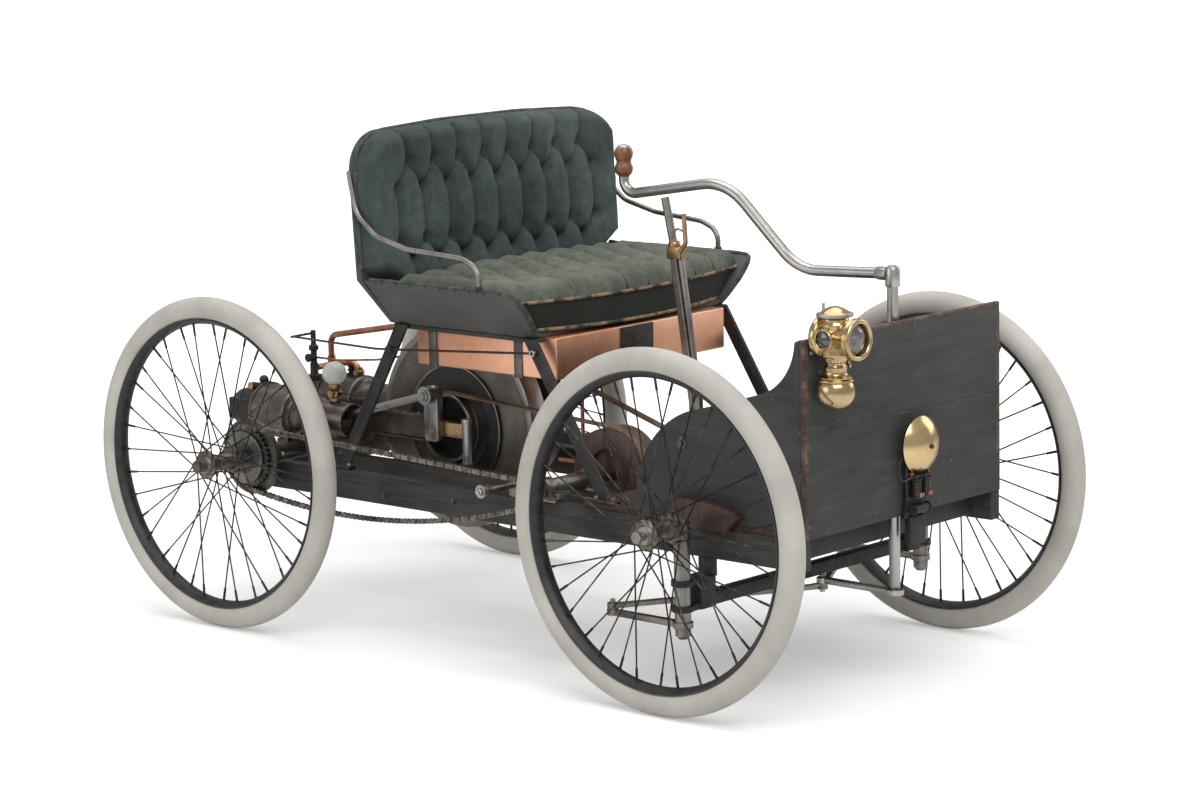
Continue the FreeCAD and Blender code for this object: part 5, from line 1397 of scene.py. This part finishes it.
def chain_path():
    """Places (y, z) along the chain's pitch line: round both toothed wheels, tight above and slack below."""
    (ry, rz, rr), (fy, fz, fr) = REAR_WHEEL, SMALL_WHEEL
    chord = math.atan2((rz - rr) - (fz - fr), ry - fy)
    turn = 2 * math.atan(2 * CHAIN_SAG / (ry - fy))
    rear_low, front_low = chord + turn, chord - turn
    top = math.atan2(rz - fz, ry - fy) + math.asin((rr - fr) / math.hypot(ry - fy, rz - fz))
    out = []
    rear_arc = (ry, rz, rr, rear_low - math.pi / 2, math.pi / 2 + top)
    front_arc = (fy, fz, fr, math.pi / 2 + top, 1.5 * math.pi + front_low)
    for cy, cz, r, a0, a1 in (rear_arc, front_arc):
        for k in range(61):
            a = a0 + (a1 - a0) * k / 60
            out.append(Vector((0, cy + r * math.cos(a), cz + r * math.sin(a))))
    start, end = out[-1], out[0]
    run = end - start
    down = Vector((0, run.z, -run.y)).normalized()
    out += [start + run * t + down * (4 * CHAIN_SAG * t * (1 - t)) for t in [k / 200 for k in range(1, 200)]]
    return out + [out[0]]


def along(path, lengths, distance):
    distance = distance % lengths[-1]
    k = next(n for n in range(len(lengths) - 1) if lengths[n + 1] >= distance)
    share = (distance - lengths[k]) / max(lengths[k + 1] - lengths[k], 1e-9)
    return path[k].lerp(path[k + 1], share)


def link_outline(length, end_r, waist):
    turns = [math.radians(d) for d in (-105, -70, -35, 0, 35, 70, 105)]
    upper = [(end_r * math.sin(a), length + end_r * math.cos(a)) for a in turns]
    lower = [(end_r * math.sin(a), -end_r * math.cos(a)) for a in reversed(turns)]
    return upper + [(waist, length / 2)] + lower + [(-waist, length / 2)]


def build_chain():
    """Block chain: solid blocks and pairs of side plates turn about, with a rivet at each joint."""
    path = chain_path()
    lengths = [0.0]
    for a, b in zip(path, path[1:]):
        lengths.append(lengths[-1] + (b - a).length)
    count = round(lengths[-1] / CHAIN_PITCH)
    pitch = lengths[-1] / count
    half = pitch / 2
    middle = plate("block_link", link_outline(half, 0.0052, 0.0042), "X", -0.0028, 0.0028, 0)
    sides = [
        plate("side_plate", link_outline(half, 0.0053, 0.004), "X", x, x + 0.0019, 0)
        for x in (0.0034, -0.0053)]
    sides += [shaft("rivet", (-0.0067, 0, h), (0.0067, 0, h), 0.0023, 10, 0.0005) for h in (0, half)]
    model = joined("side_plates", sides)
    places = [[], []]
    for k in range(count):
        spots = [along(path, lengths, k * pitch + s * half) for s in (0, 1, 2)]
        for n in (0, 1):
            run = (spots[n + 1] - spots[n]).normalized()
            across = Vector((1, 0, 0))
            turn = Matrix((across, run.cross(across), run)).transposed().to_4x4()
            turn.translation = spots[n] + Vector((CHAIN_X, 0, 0))
            places[n].append(turn)
    blocks = repeated("chain_blocks", middle, places[0])
    plates = repeated("chain_plates", model, places[1])
    finished(smoothed(joined("block_chain", [blocks, plates]), 30), CHAIN_STEEL, "steel_dark", "chain")


build_chain()


# Engine

RIGHT_X = -0.17
LEFT_X = 0.03
THROW = 0.078
ROD_LENGTH = 0.29
OILER_Y = 0.545
COCK_Z = 0.4722
KING_X = 0.38
LEVER_X = -0.012


def build_flywheel():
    """Heavy wheel with a polished rim, stepped black drum and the hollow belt ring."""
    base = (0, CRANK_Y, CRANK_Z)
    wheel = turned("fly_disc", hoop(
        -78.5, 11.2, -78.5, 60, -80, 62, -80, 196, -79, 200, -79, 203.5, -80, 205, -80, 216, -78.8, 218.8,
        -76.5, 220, -33.5, 220, -31.2, 218.8, -30, 216, -30, 205, -31.5, 203, -33, 198, -33, 46, -31, 41,
        -29.2, 40, -29, 38.5, -29, 11.2), base, "X", 128, 30)
    finished(wheel, FLY_IRON, "iron_grey", "flywheel")
    drum = turned("fly_drum", hoop(
        -79.6, 67, -79.6, 131, -80.6, 132, -87.2, 132, -88, 131.2, -88, 101, -88.4, 100, -90.7, 100,
        -91, 99.5, -91, 67), base, "X", 96, 30)
    inside = turned("ring_inside", hoop(
        -79.7, 12, -79.7, 66.8, -108, 66.8, -108, 66.4, -80.3, 66.4, -80.3, 12), base, "X", 64)
    finished(joined("black_drum", [drum, inside]), ENAMEL, "iron_black")
    ring = turned("belt_ring", hoop(
        -91.2, 67, -91.2, 72.8, -92, 73.5, -93, 72.8, -110, 72.8, -111.2, 73.5, -112, 72.8, -112, 67.5,
        -111.5, 67), base, "X", 96, 30)
    edge = turned("drum_edge", hoop(
        -86.8, 131.6, -86.8, 132.4, -88.4, 132.4, -88.6, 130, -87.8, 130), base, "X", 96, 30)
    finished(joined("bright_ring", [ring, edge]), POLISHED, "steel")


def build_cylinders():
    """Two horizontal cylinders: open sleeve, water jacket and bolted head."""
    jackets = []
    heads = []
    for x in (RIGHT_X, LEFT_X):
        base = (x, 0, CRANK_Z)
        jackets.append(turned("jacket", hoop(
            752, 32, 493.5, 32, 492, 32.6, 492, 37, 493.5, 38, 594, 38, 595.5, 39.5, 596, 43, 598, 44,
            649, 44, 651, 46, 653.5, 56, 656, 57.8, 660, 58, 750.5, 58, 752, 58.6, 752.5, 61.5, 754, 62,
            759, 62, 760, 61, 760, 48, 761, 47.5, 762, 32), base, "Y", 80, 40))
        jackets.append(turned("seam", mm(699.5, 57.5, 700, 59, 703, 59, 703.5, 57.5), base, "Y", 80, 40))
        heads.append(turned("head", solid(
            756, 48, 811, 48, 812.5, 47, 819, 41, 821, 40, 836, 40, 837, 39, 837, 34, 840, 33.5), base, "Y",
            64, 40))
        heads.append(bolts("head_bolt", spaced((x, 0.76, CRANK_Z), 0.0545, 8, "Y", 0.39), "Y", 0.011, 0.006))
        heads.append(
            bolts("cover_bolt", spaced((x, 0.836, CRANK_Z), 0.0368, 6, "Y", 0.2), "Y", 0.0055, 0.003))
        heads.append(shaft("bore_plug", (x, 0.6, CRANK_Z), (x, 0.7, CRANK_Z), 0.0319, 48))
    finished(joined("iron_cylinders", jackets), JACKET, "iron_rust", "cylinders")
    finished(joined("black_heads", heads), IRON_BLACK, "iron_black")


def build_valve_gear():
    """Brass and iron fittings on the right-hand cylinder: ball check, rocker, push strut, chest and cocks."""
    x = RIGHT_X
    top = CRANK_Z + 0.058
    ball = turned(
        "ball", rounded(mm(2, 0, 4, 6, 12.5, 11.8, 21, 6, 23, 0), 5), (x, 0.683, top), sides=32, angle=60)
    seat = turned("ball_seat", solid(-2, 10, 2, 10.5, 3.5, 7, 6, 5.5), (x, 0.683, top), sides=24)
    strut = shaft("strut", (x - 0.012, 0.796, 0.466), (x - 0.03, 0.838, 0.392), 0.0042, 16, 0.001)
    strut_end = turned("strut_end", solid(-6, 8.5, 6, 8.5), (x - 0.012, 0.796, 0.468), "X", 20)
    centre = (x, OILER_Y, COCK_Z)
    tap = [
        turned("cock", solid(-15.5, 7.5, -12, 9, -8, 6, 8, 6, 12, 8.5, 15.5, 7.5), centre, "X", 20),
        turned("cock_y", solid(-12.5, 6, -9, 8, -6, 5.5, 6, 5.5, 9, 8, 12.5, 6), centre, "Y", 20)]
    cup = turned("oiler_cup", solid(
        0, 13, 1.5, 14, 8, 13.8, 10, 10, 13, 7.8, 22, 7.5, 24.5, 8.5, 27.5, 11.8, 30, 13, 37, 14.2,
        38.5, 14, 39.2, 12), (x, OILER_Y, 0.4553), sides=40)
    hinge = block("hinge", (x + 0.012, 0.64, top - 0.006), (x + 0.03, 0.656, top + 0.002), 0.002)
    branch_nut = turned(
        "union", solid(-4, 12.5, 4, 13, 8, 13, 12, 10, 16, 9.8), (LEFT_X, 0.675, 0.475), sides=6, angle=30)
    finished(joined(
        "engine_brass", [ball, seat, strut, strut_end, cup, hinge, *tap, branch_nut]), BRONZE, "brass",
        "oiler")
    rocker = shaft("rocker", (x + 0.004, 0.734, 0.47), (x - 0.012, 0.796, 0.47), 0.0065, 12, 0.002)
    stand = block("rocker_stand", (x - 0.01, 0.752, top - 0.012), (x + 0.012, 0.772, top + 0.004), 0.003)
    chest = block(
        "valve_chest", (x - 0.052, 0.768, CRANK_Z - 0.02), (x - 0.02, 0.832, CRANK_Z + 0.028), 0.004, 3)
    spring_cap = turned("spring_cap", rounded(
        mm(0, 8.5, 4, 10.5, 10, 9.5, 14.5, 5, 15.5, 0.1), 4), (x, 0.77, top + 0.002), sides=24, angle=60)
    lever_rod = swept("cock_rod", [
        (x + 0.01, OILER_Y, COCK_Z), (x + 0.01, 0.52, COCK_Z), (x + 0.012, 0.44, 0.4745)], [0.01], 0.0017,
        3)
    rings = [turned("stack_ring", [
        (h, 0), (h, r), (h + 0.004, r), (h + 0.004, 0)], (LEFT_X - 0.004, 0.694, 0.474), sides=24)
        for h, r in ((0.0, 0.01), (0.0045, 0.007), (0.009, 0.01), (0.0135, 0.007), (0.018, 0.0095))]
    finished(joined(
        "engine_black", [rocker, stand, chest, spring_cap, lever_rod] + rings), IRON_BLACK, "iron_black")
    globe = turned("oiler_globe", rounded(
        mm(0.4, 12, 4, 18.5, 13, 24.5, 23.5, 26.2, 34, 24, 43, 16.5, 47.5, 6, 48.2, 0.1), 4),
        (x, OILER_Y, 0.4946), sides=48, angle=70)
    finished(globe, FROSTED, "glass", "oiler_glass")


def build_cranks():
    """Bright crank arms with washers at the pin, centre rings below, rods with split brasses."""
    pin_z = CRANK_Z + THROW
    pieces = []
    for x0 in (-0.1595, 0.0015, 0.0405):
        outline = [
            (CRANK_Y + 0.02 * math.sin(a), pin_z + 0.02 * math.cos(a))
            for a in [math.radians(d) for d in range(-90, 91, 15)]]
        outline += [
            (CRANK_Y + 0.02, CRANK_Z - 0.016), (CRANK_Y + 0.014, CRANK_Z - 0.022),
            (CRANK_Y - 0.014, CRANK_Z - 0.022), (CRANK_Y - 0.02, CRANK_Z - 0.016)]
        pieces.append(plate("crank_arm", outline, "X", x0, x0 + 0.018, 0.0012))
    for x0, x1, z, r in (
            (-0.182, -0.1585, pin_z, 0.009), (-0.1585, 0.019, CRANK_Z, 0.011), (0.019, 0.041, pin_z, 0.009),
            (0.041, 0.185, CRANK_Z, 0.011)):
        pieces.append(shaft("journal", (x0, CRANK_Y, z), (x1, CRANK_Y, z), r, 32, 0.0008))
    pieces.append(turned("pin_washer", solid(
        -9.5, 7.5, -8.5, 8.5, -3, 8.5, -3, 12, -2, 13, 0, 13), (-0.1805, CRANK_Y, pin_z), "X", 32))
    pieces.append(turned("centre_mark", solid(
        0, 8.5, 0.8, 8.5, 0.8, 6, 0.3, 5.5, 0.3, 2.8, 1, 2.4), (-0.1595, CRANK_Y, CRANK_Z), "-X", 32))
    pulley = turned("fast_pulley", hoop(
        82, 133, 82, 139.2, 82.8, 140, 95, 140.2, 107.2, 140, 108, 139.2, 108, 133, 100.5, 132, 100, 36,
        101, 34, 107.2, 34, 108, 33, 108, 11.1, 82, 11.1, 82, 33, 82.8, 34, 89, 34, 90, 36, 89.5, 132),
        (0, CRANK_Y, CRANK_Z), "X", 96, 40)
    finished(joined("bright_crankshaft", pieces), STEEL, "steel", "crankshaft")
    finished(pulley, IRON_GREY, "iron_grey")
    rods = []
    wrist = CRANK_Y + math.sqrt(ROD_LENGTH ** 2 - THROW ** 2)
    for x in (RIGHT_X, LEFT_X):
        start = Vector((x, CRANK_Y, pin_z))
        unit = Vector((0, wrist - CRANK_Y, -THROW)).normalized()
        big = turned("big_end", hoop(-10, 9.2, -10, 18.8, -9, 20, 9, 20, 10, 18.8, 10, 9.2), start, "X", 40)
        shank = shaft("shank", start + unit * 0.017, start + unit * 0.28, 0.0088, 32)
        piston = turned("piston", solid(
            -20, 31, -19, 31.9, -8, 31.9, -7.8, 31, -5, 31, -4.8, 31.9, 44, 31.9, 45, 31),
            (x, wrist, CRANK_Z), "Y", 48, 30)
        nuts = [hex_nut(
            "cap_nut", start - unit * 0.019 + Vector((dx, 0, 0)), "Y", 0.004, 0.007)
            for dx in (-0.006, 0.006)]
        rods += [big, shank, piston] + nuts
    finished(joined("bright_rods", rods), STEEL, "steel", "connecting_rods")


def build_lever():
    """Flat steel blade between floor and jaw, bronze jaw with its latch, and the straight handle."""
    x = LEVER_X
    profile = [
        (-0.365, 0.36), (-0.335, 0.36), (-0.331, 0.516), (-0.286, 0.82), (-0.316, 0.824), (-0.361, 0.52)]
    blade = plate("lever_blade", profile, "X", x - 0.006, x + 0.006, 0.002, 3)
    base = block("lever_base", (x - 0.02, -0.384, 0.357), (x + 0.02, -0.316, 0.367), 0.002)
    rod = shaft("lever_rod", (x, -0.3, 0.812), (x, -0.273, 0.932), 0.0085, 32, 0.002)
    spine = shaft("latch_rod", (x - 0.01, -0.352, 0.53), (x - 0.01, -0.306, 0.812), 0.0026, 12)
    finished(joined("steel_lever", [blade, base, rod, spine]), COLUMN, "steel", "hand_lever")
    jaw = block("lever_jaw", (x - 0.011, -0.3195, 0.808), (x + 0.011, -0.2825, 0.834), 0.003, 3)
    collar = turned("lever_collar", solid(0, 12.5, 2, 13, 10, 12, 12, 10), (x, -0.296, 0.832), sides=28)
    finger = swept("latch_finger", [
        (x - 0.008, -0.316, 0.822), (x - 0.008, -0.333, 0.842), (x - 0.008, -0.329, 0.902)], [0.012],
        0.0048, 6)
    link = swept("latch_link", [
        (x - 0.008, -0.296, 0.85), (x - 0.008, -0.308, 0.872), (x - 0.008, -0.33, 0.866)], [0.01], 0.0024,
        4)
    guide = block("latch_guide", (x - 0.016, -0.357, 0.556), (x + 0.008, -0.338, 0.57), 0.002)
    # Painted shade: a thin black strip on the blade's face stands for the groove, which is not cut.
    groove = plate("blade_groove_shade", [
        (-0.347, 0.385), (-0.3445, 0.385), (-0.3405, 0.53), (-0.309, 0.795), (-0.3115, 0.796),
        (-0.343, 0.531)], "X", x - 0.0064, x - 0.0055, 0.0002, 1)
    finished(groove, IRON_BLACK, "steel")
    finished(joined("bronze_jaw", [jaw, collar, guide, finger, link]), BRONZE, "steel")


def build_pipes():
    """Copper pipes with unions, and the mixing valve with its lever and rod."""
    x, y, low = -0.062, 0.722, 0.475
    branch = swept("branch_pipe", [
        (x + 0.0093, y, 0.499), (LEFT_X, y, 0.499), (LEFT_X, 0.675, 0.499), (LEFT_X, 0.675, low + 0.0003)],
        [0.02, 0.02], 0.007, 5)
    feed = swept("feed_pipe", [
        (-0.008, 0.1963, 0.652), (-0.008, 0.236, 0.652), (-0.008, y, 0.565), (-0.008, y, 0.499)],
        [0.04, 0.022], 0.007, 5)
    thin = swept("thin_pipe", [
        (x, y - 0.0083, 0.523), (x, 0.642, 0.523), (-0.008, 0.572, 0.523), (-0.008, 0.1968, 0.598)],
        [0.04, 0.04], 0.0025, 3)
    unions = [
        turned("union", solid(0, 11, 3, 12, 10, 12, 13, 9), (-0.008, 0.1963, 0.652), "Y", 6, 30),
        turned("union", solid(-8, 8.5, -5, 9.5, 5, 9.5, 8, 8.5), (-0.008, y, 0.512), "Z", 6, 30)]
    finished(joined("copper_pipes", [branch, feed, thin] + unions), PIPE, "copper", "fuel_pipes")
    stem = turned("valve_stem", solid(
        -4, 15, -3, 16, 7, 16, 8, 15, 10, 10, 12, 9, 33, 9, 38, 7, 45, 7.2, 62, 7, 64, 10.5, 66, 11, 73, 11,
        75, 8, 77, 6, 107, 6, 108, 5.2), (x, y, low), sides=32)
    side = turned("valve_side", solid(-1, 8, 14, 8, 15, 9.5, 19, 9.5, 20, 8.5), (x, y, 0.523), "-X", 24)
    lever = shaft("valve_lever", (x, y, 0.577), (x - 0.062, y + 0.006, 0.575), 0.0028, 12, 0.001)
    rod = swept("control_rod", [
        (-0.122, 0.728, 0.576), (-0.3068, 0.278, 0.612), (-0.3068, 0.236, 0.614), (-0.3068, -0.172, 0.641)],
        [0.03, 0.02], 0.0025, 3)
    clip = block("rod_clip", (-0.3107, 0.2275, 0.6083), (-0.3004, 0.2445, 0.6197), 0.0015)
    finished(joined("valve_black", [stem, side, lever, rod, clip]), IRON_BLACK, "steel_dark", "mixing_valve")
    ring = turned("clevis", hoop(
        -5.2, 3.5, -5.2, 6.5, -4.5, 7.2, 2.5, 7.2, 3.2, 6.5, 3.2, 3.5), (-0.3055, -0.172, 0.641), "X", 24)
    finished(ring, POLISHED, "steel")


def build_knuckles():
    """King pins with cap nuts, stub axles, steering arms with studs, and the hub nuts."""
    for s, word in SIDES:
        x, y = KING_X * s, -AXLE_Y
        pin = turned("king", solid(
            136, 9, 138, 11, 140.5, 11.5, 142, 15, 156, 15.2, 158, 16, 159, 16, 172, 16, 366, 16,
            368.5, 15.2, 369.6, 13.5), (x, y, 0), sides=40)
        boss = turned("arm_boss", solid(158, 19, 159, 20, 169, 20, 170, 19), (x, y, 0), sides=40)
        arm = plate("steering_arm", [
            (x - 0.009, y), (x + 0.009, y), (x + 0.0075, y + 0.17), (x - 0.0075, y + 0.17)], "Z", 0.158,
            0.17, 0.0015)
        eye = turned("arm_eye", solid(
            158, 11, 159, 12, 169, 12, 170, 11, 170, 5, 189, 5, 190, 4.2), (x, y + ARM_LENGTH, 0), sides=28)
        stub = turned("stub", solid(
            0, 11.8, 20, 11.8, 24, 9, 124, 9, 124, 10.8, 125.5, 11.3, 130.5, 11.3, 132, 10.2, 132, 6.2,
            133.5, 6.2, 134, 5.2), (x, y, WHEEL_R), FACING[s], 32)
        washer = turned("washer", solid(112.5, 16, 114, 16.5, 114.5, 15.5), (x, y, WHEEL_R), FACING[s], 32)
        nut = turned(
            "hub_nut", solid(124.5, 12.2, 126, 13, 131.5, 13, 133, 12.2), (x, y, WHEEL_R), FACING[s], 6, 30)
        finished(joined(
            f"knuckle_steel_{word}", [pin, boss, arm, eye, stub, washer, nut]), COLUMN, "iron_black",
            f"knuckle_{word}", body=f"knuckle_{word}")


def build_small_parts():
    """Oil tube, drum disc, bolts and screws, adjuster, tank's plate and drain, tacks and mouldings."""
    tube_part = turned("oil_tube", solid(
        353.2, 13, 356, 13, 356.2, 10.7, 435.2, 10.7, 435.8, 12.2, 437.5, 12.4, 446.5, 12.4, 448.4, 11.5,
        448.6, 7, 447.8, 6.6), (-0.136, 0.182, 0), sides=40)
    disc = turned("hub_disc", hoop(
        0, 34.5, 0, 55.2, 0.6, 56.2, 5.8, 56.6, 6.4, 55.6, 6.4, 34.5), (-0.3722, AXLE_Y, WHEEL_R), "-X", 80,
        30)
    finished(tube_part, POLISHED, "steel")
    finished(disc, COLUMN, "steel_dark", body="rear_axle")
    bed = bolts("bed_bolt", [
        (-0.1475, y, 0.447) for y in (0.312, 0.352, 0.398, 0.442, 0.478)], "Z", 0.0085, 0.005)
    rear = [(s * 0.303, AXLE_Y + dy, 0.354) for s in (1, -1) for dy in (-0.0425, 0.0425)]
    middle = [(x, -0.196 + dy, 0.354) for x in (-0.303, -0.17, 0.17) for dy in (-0.0305, 0.0305)]
    saddle = bolts("saddle_bolt", rear + middle, "Z", 0.011, 0.007)
    feet = bolts("foot_bolt", [
        (s * 0.301, y + dy, z) for s in (1, -1) for y, z in ((0.395, 0.352), (-0.352, 0.364))
        for dy in (-0.022, 0.022)], "Z", 0.01, 0.006)
    finished(joined("machine_bolts", [bed, saddle, feet]), COLUMN, "steel")
    washers = [turned("washer", solid(
        0, 12.5, 1.5, 12.5, 2, 11.5, 2, 6.8, 8, 6.2, 9, 4.5), (s * 0.3132, -0.564, 0.502), FACING[s], 28)
        for s in (1, -1)]
    for s in (1, -1):
        for y, z in ((-0.84, 0.315), (-0.44, 0.312), (0.05, 0.316), (0.25, 0.305), (0.665, 0.315)):
            washers.append(turned(
                "bolt", solid(0, 8.5, 1.2, 8.5, 1.4, 5.5, 5, 5, 5.8, 3), (s * 0.318, y, z), FACING[s], 20))
    finished(joined("side_bolts", washers), DULL, "steel")
    front = [
        (-0.018, 0.717), (0.027, 0.715), (0.275, 0.688), (-0.268, 0.66), (0.302, 0.66), (0.302, 0.585),
        (0.302, 0.47), (0.302, 0.4), (-0.302, 0.6), (-0.302, 0.52), (-0.302, 0.43), (-0.302, 0.37),
        (0.146, 0.43), (0.146, 0.399), (-0.1, 0.353), (0.1, 0.353), (0.25, 0.353), (-0.25, 0.353)]
    heads = screws("front_screw", [(x, -0.867, z) for x, z in front], "-Y", 0.0038)
    side = [
        (-0.855, 0.69), (-0.855, 0.62), (-0.855, 0.55), (-0.855, 0.47), (-0.855, 0.39), (-0.79, 0.61),
        (-0.675, 0.562), (-0.76, 0.356), (-0.5, 0.356), (-0.37, 0.372)]
    sides = [screws("side_screw", [(s * 0.313, y, z) for y, z in side], FACING[s], 0.0036) for s in (1, -1)]
    finished(joined("panel_screws", [heads, *sides]), DULL, "steel")
    adjuster = [
        turned("washer", solid(0, 13.5, 1.5, 14, 3, 13.5), (-0.4135, -0.122, 0.372), "-X", 32),
        hex_nut("adjuster_nut", (-0.4163, -0.122, 0.372), "-X", 0.007, 0.017),
        shaft("adjuster_end", (-0.418, -0.122, 0.372), (-0.427, -0.122, 0.372), 0.0048, 20, 0.001)]
    finished(joined("adjuster_fittings", adjuster), STEEL, "steel")
    wide = block("wide_plate", (-0.067, -0.1992, 0.5796), (0.0295, -0.1962, 0.6655), 0.0006)
    finished(wide, IRON_BLACK, "iron_black")
    finished(swept("tank_drain", [
        (-0.06, -0.078, 0.59), (-0.06, -0.078, 0.372), (-0.06, -0.01, 0.372)], [0.02], 0.0042, 5), PIPE,
        "copper")
    tacks = []
    for s in (1, -1):
        edge = [(-0.1705, 0.69), (-0.1795, 0.716), (-0.1795, 0.742)] + [
            (-0.15 + k * 0.0415, 0.7655) for k in range(9)]
        tacks.append(screws("tack", [
            (s * (0.3755 - (SIDE_TOP - z) * FLARE), y, z) for y, z in edge], FACING[s], 0.004))
    finished(joined("binding_tacks", tacks), IRON_BLACK, "cloth")
    strips = [
        block("moulding", (x, SEAT_FRONT + 0.004, 0.6585), (x + 0.012, SEAT_BACK + 0.004, 0.6682), 0.003, 3)
        for x in (0.279, -0.291)]
    finished(joined("tray_mouldings", strips), TIMBER, "seat_panel")


build_knuckles()
build_flywheel()
build_cylinders()
build_valve_gear()
build_cranks()
build_pipes()
build_lever()
build_small_parts()


# Solids whose shape is right: cleaned, eased and finished

DRESSED = (
    ("side_rail_left", TIMBER, "frame_black", 0.003),
    ("side_rail_right", TIMBER, "frame_black", 0.003),
    ("sills", TIMBER, "frame_black", 0.003),
    ("cross_bars", TIMBER, "frame_black", 0.003),
    ("floor_board", FLOOR, "floor_wood", 0.0015),
    ("front_panel", PANEL, "panel", 0.002),
    ("side_panels", PANEL, "panel", 0.002),
    ("seat_tray", TRAY, "seat_panel", 0.002),
    ("seat_back_board", TRAY, "seat_panel", 0.002),
    ("front_brackets", BRACKET, "bracket_wood", 0.002),
    ("seat_legs", IRON_BLACK, "iron_grey", 0.001),
    ("fuel_tank", COPPER, "copper", 0.003),
    ("tank_straps", DULL, "iron_black", 0.0006),
    ("engine_bed", IRON_RUST, "steel_dark", 0.0015),
    ("crank_bearing", BRONZE, "bronze", 0.001),
    ("belts", LEATHER, "belt", 0.0005),
    ("countershaft", COLUMN, "steel_dark", 0.0008),
    ("belt_drum", DRUM_WOOD, "drum_wood", 0.001),
    ("bearings", COLUMN, "steel_dark", 0.001),
    ("front_axle", IRON_BLACK, "iron_black", 0.002),
    ("rear_axle", DULL, "steel_dark", 0.0008, "rear_axle"),
)


def dress(node, material, slot, ease, body="chassis"):
    finished(cleaned(node, node + "_dressed", ease), material, slot, node, body=body)


for row in DRESSED:
    dress(*row)
for side in ("left", "right"):
    link = f"drag_link_{side}"
    finished(cleaned(link, f"drag_link_steel_{side}", 0.0012), COLUMN, "steel_dark", link, body=link)
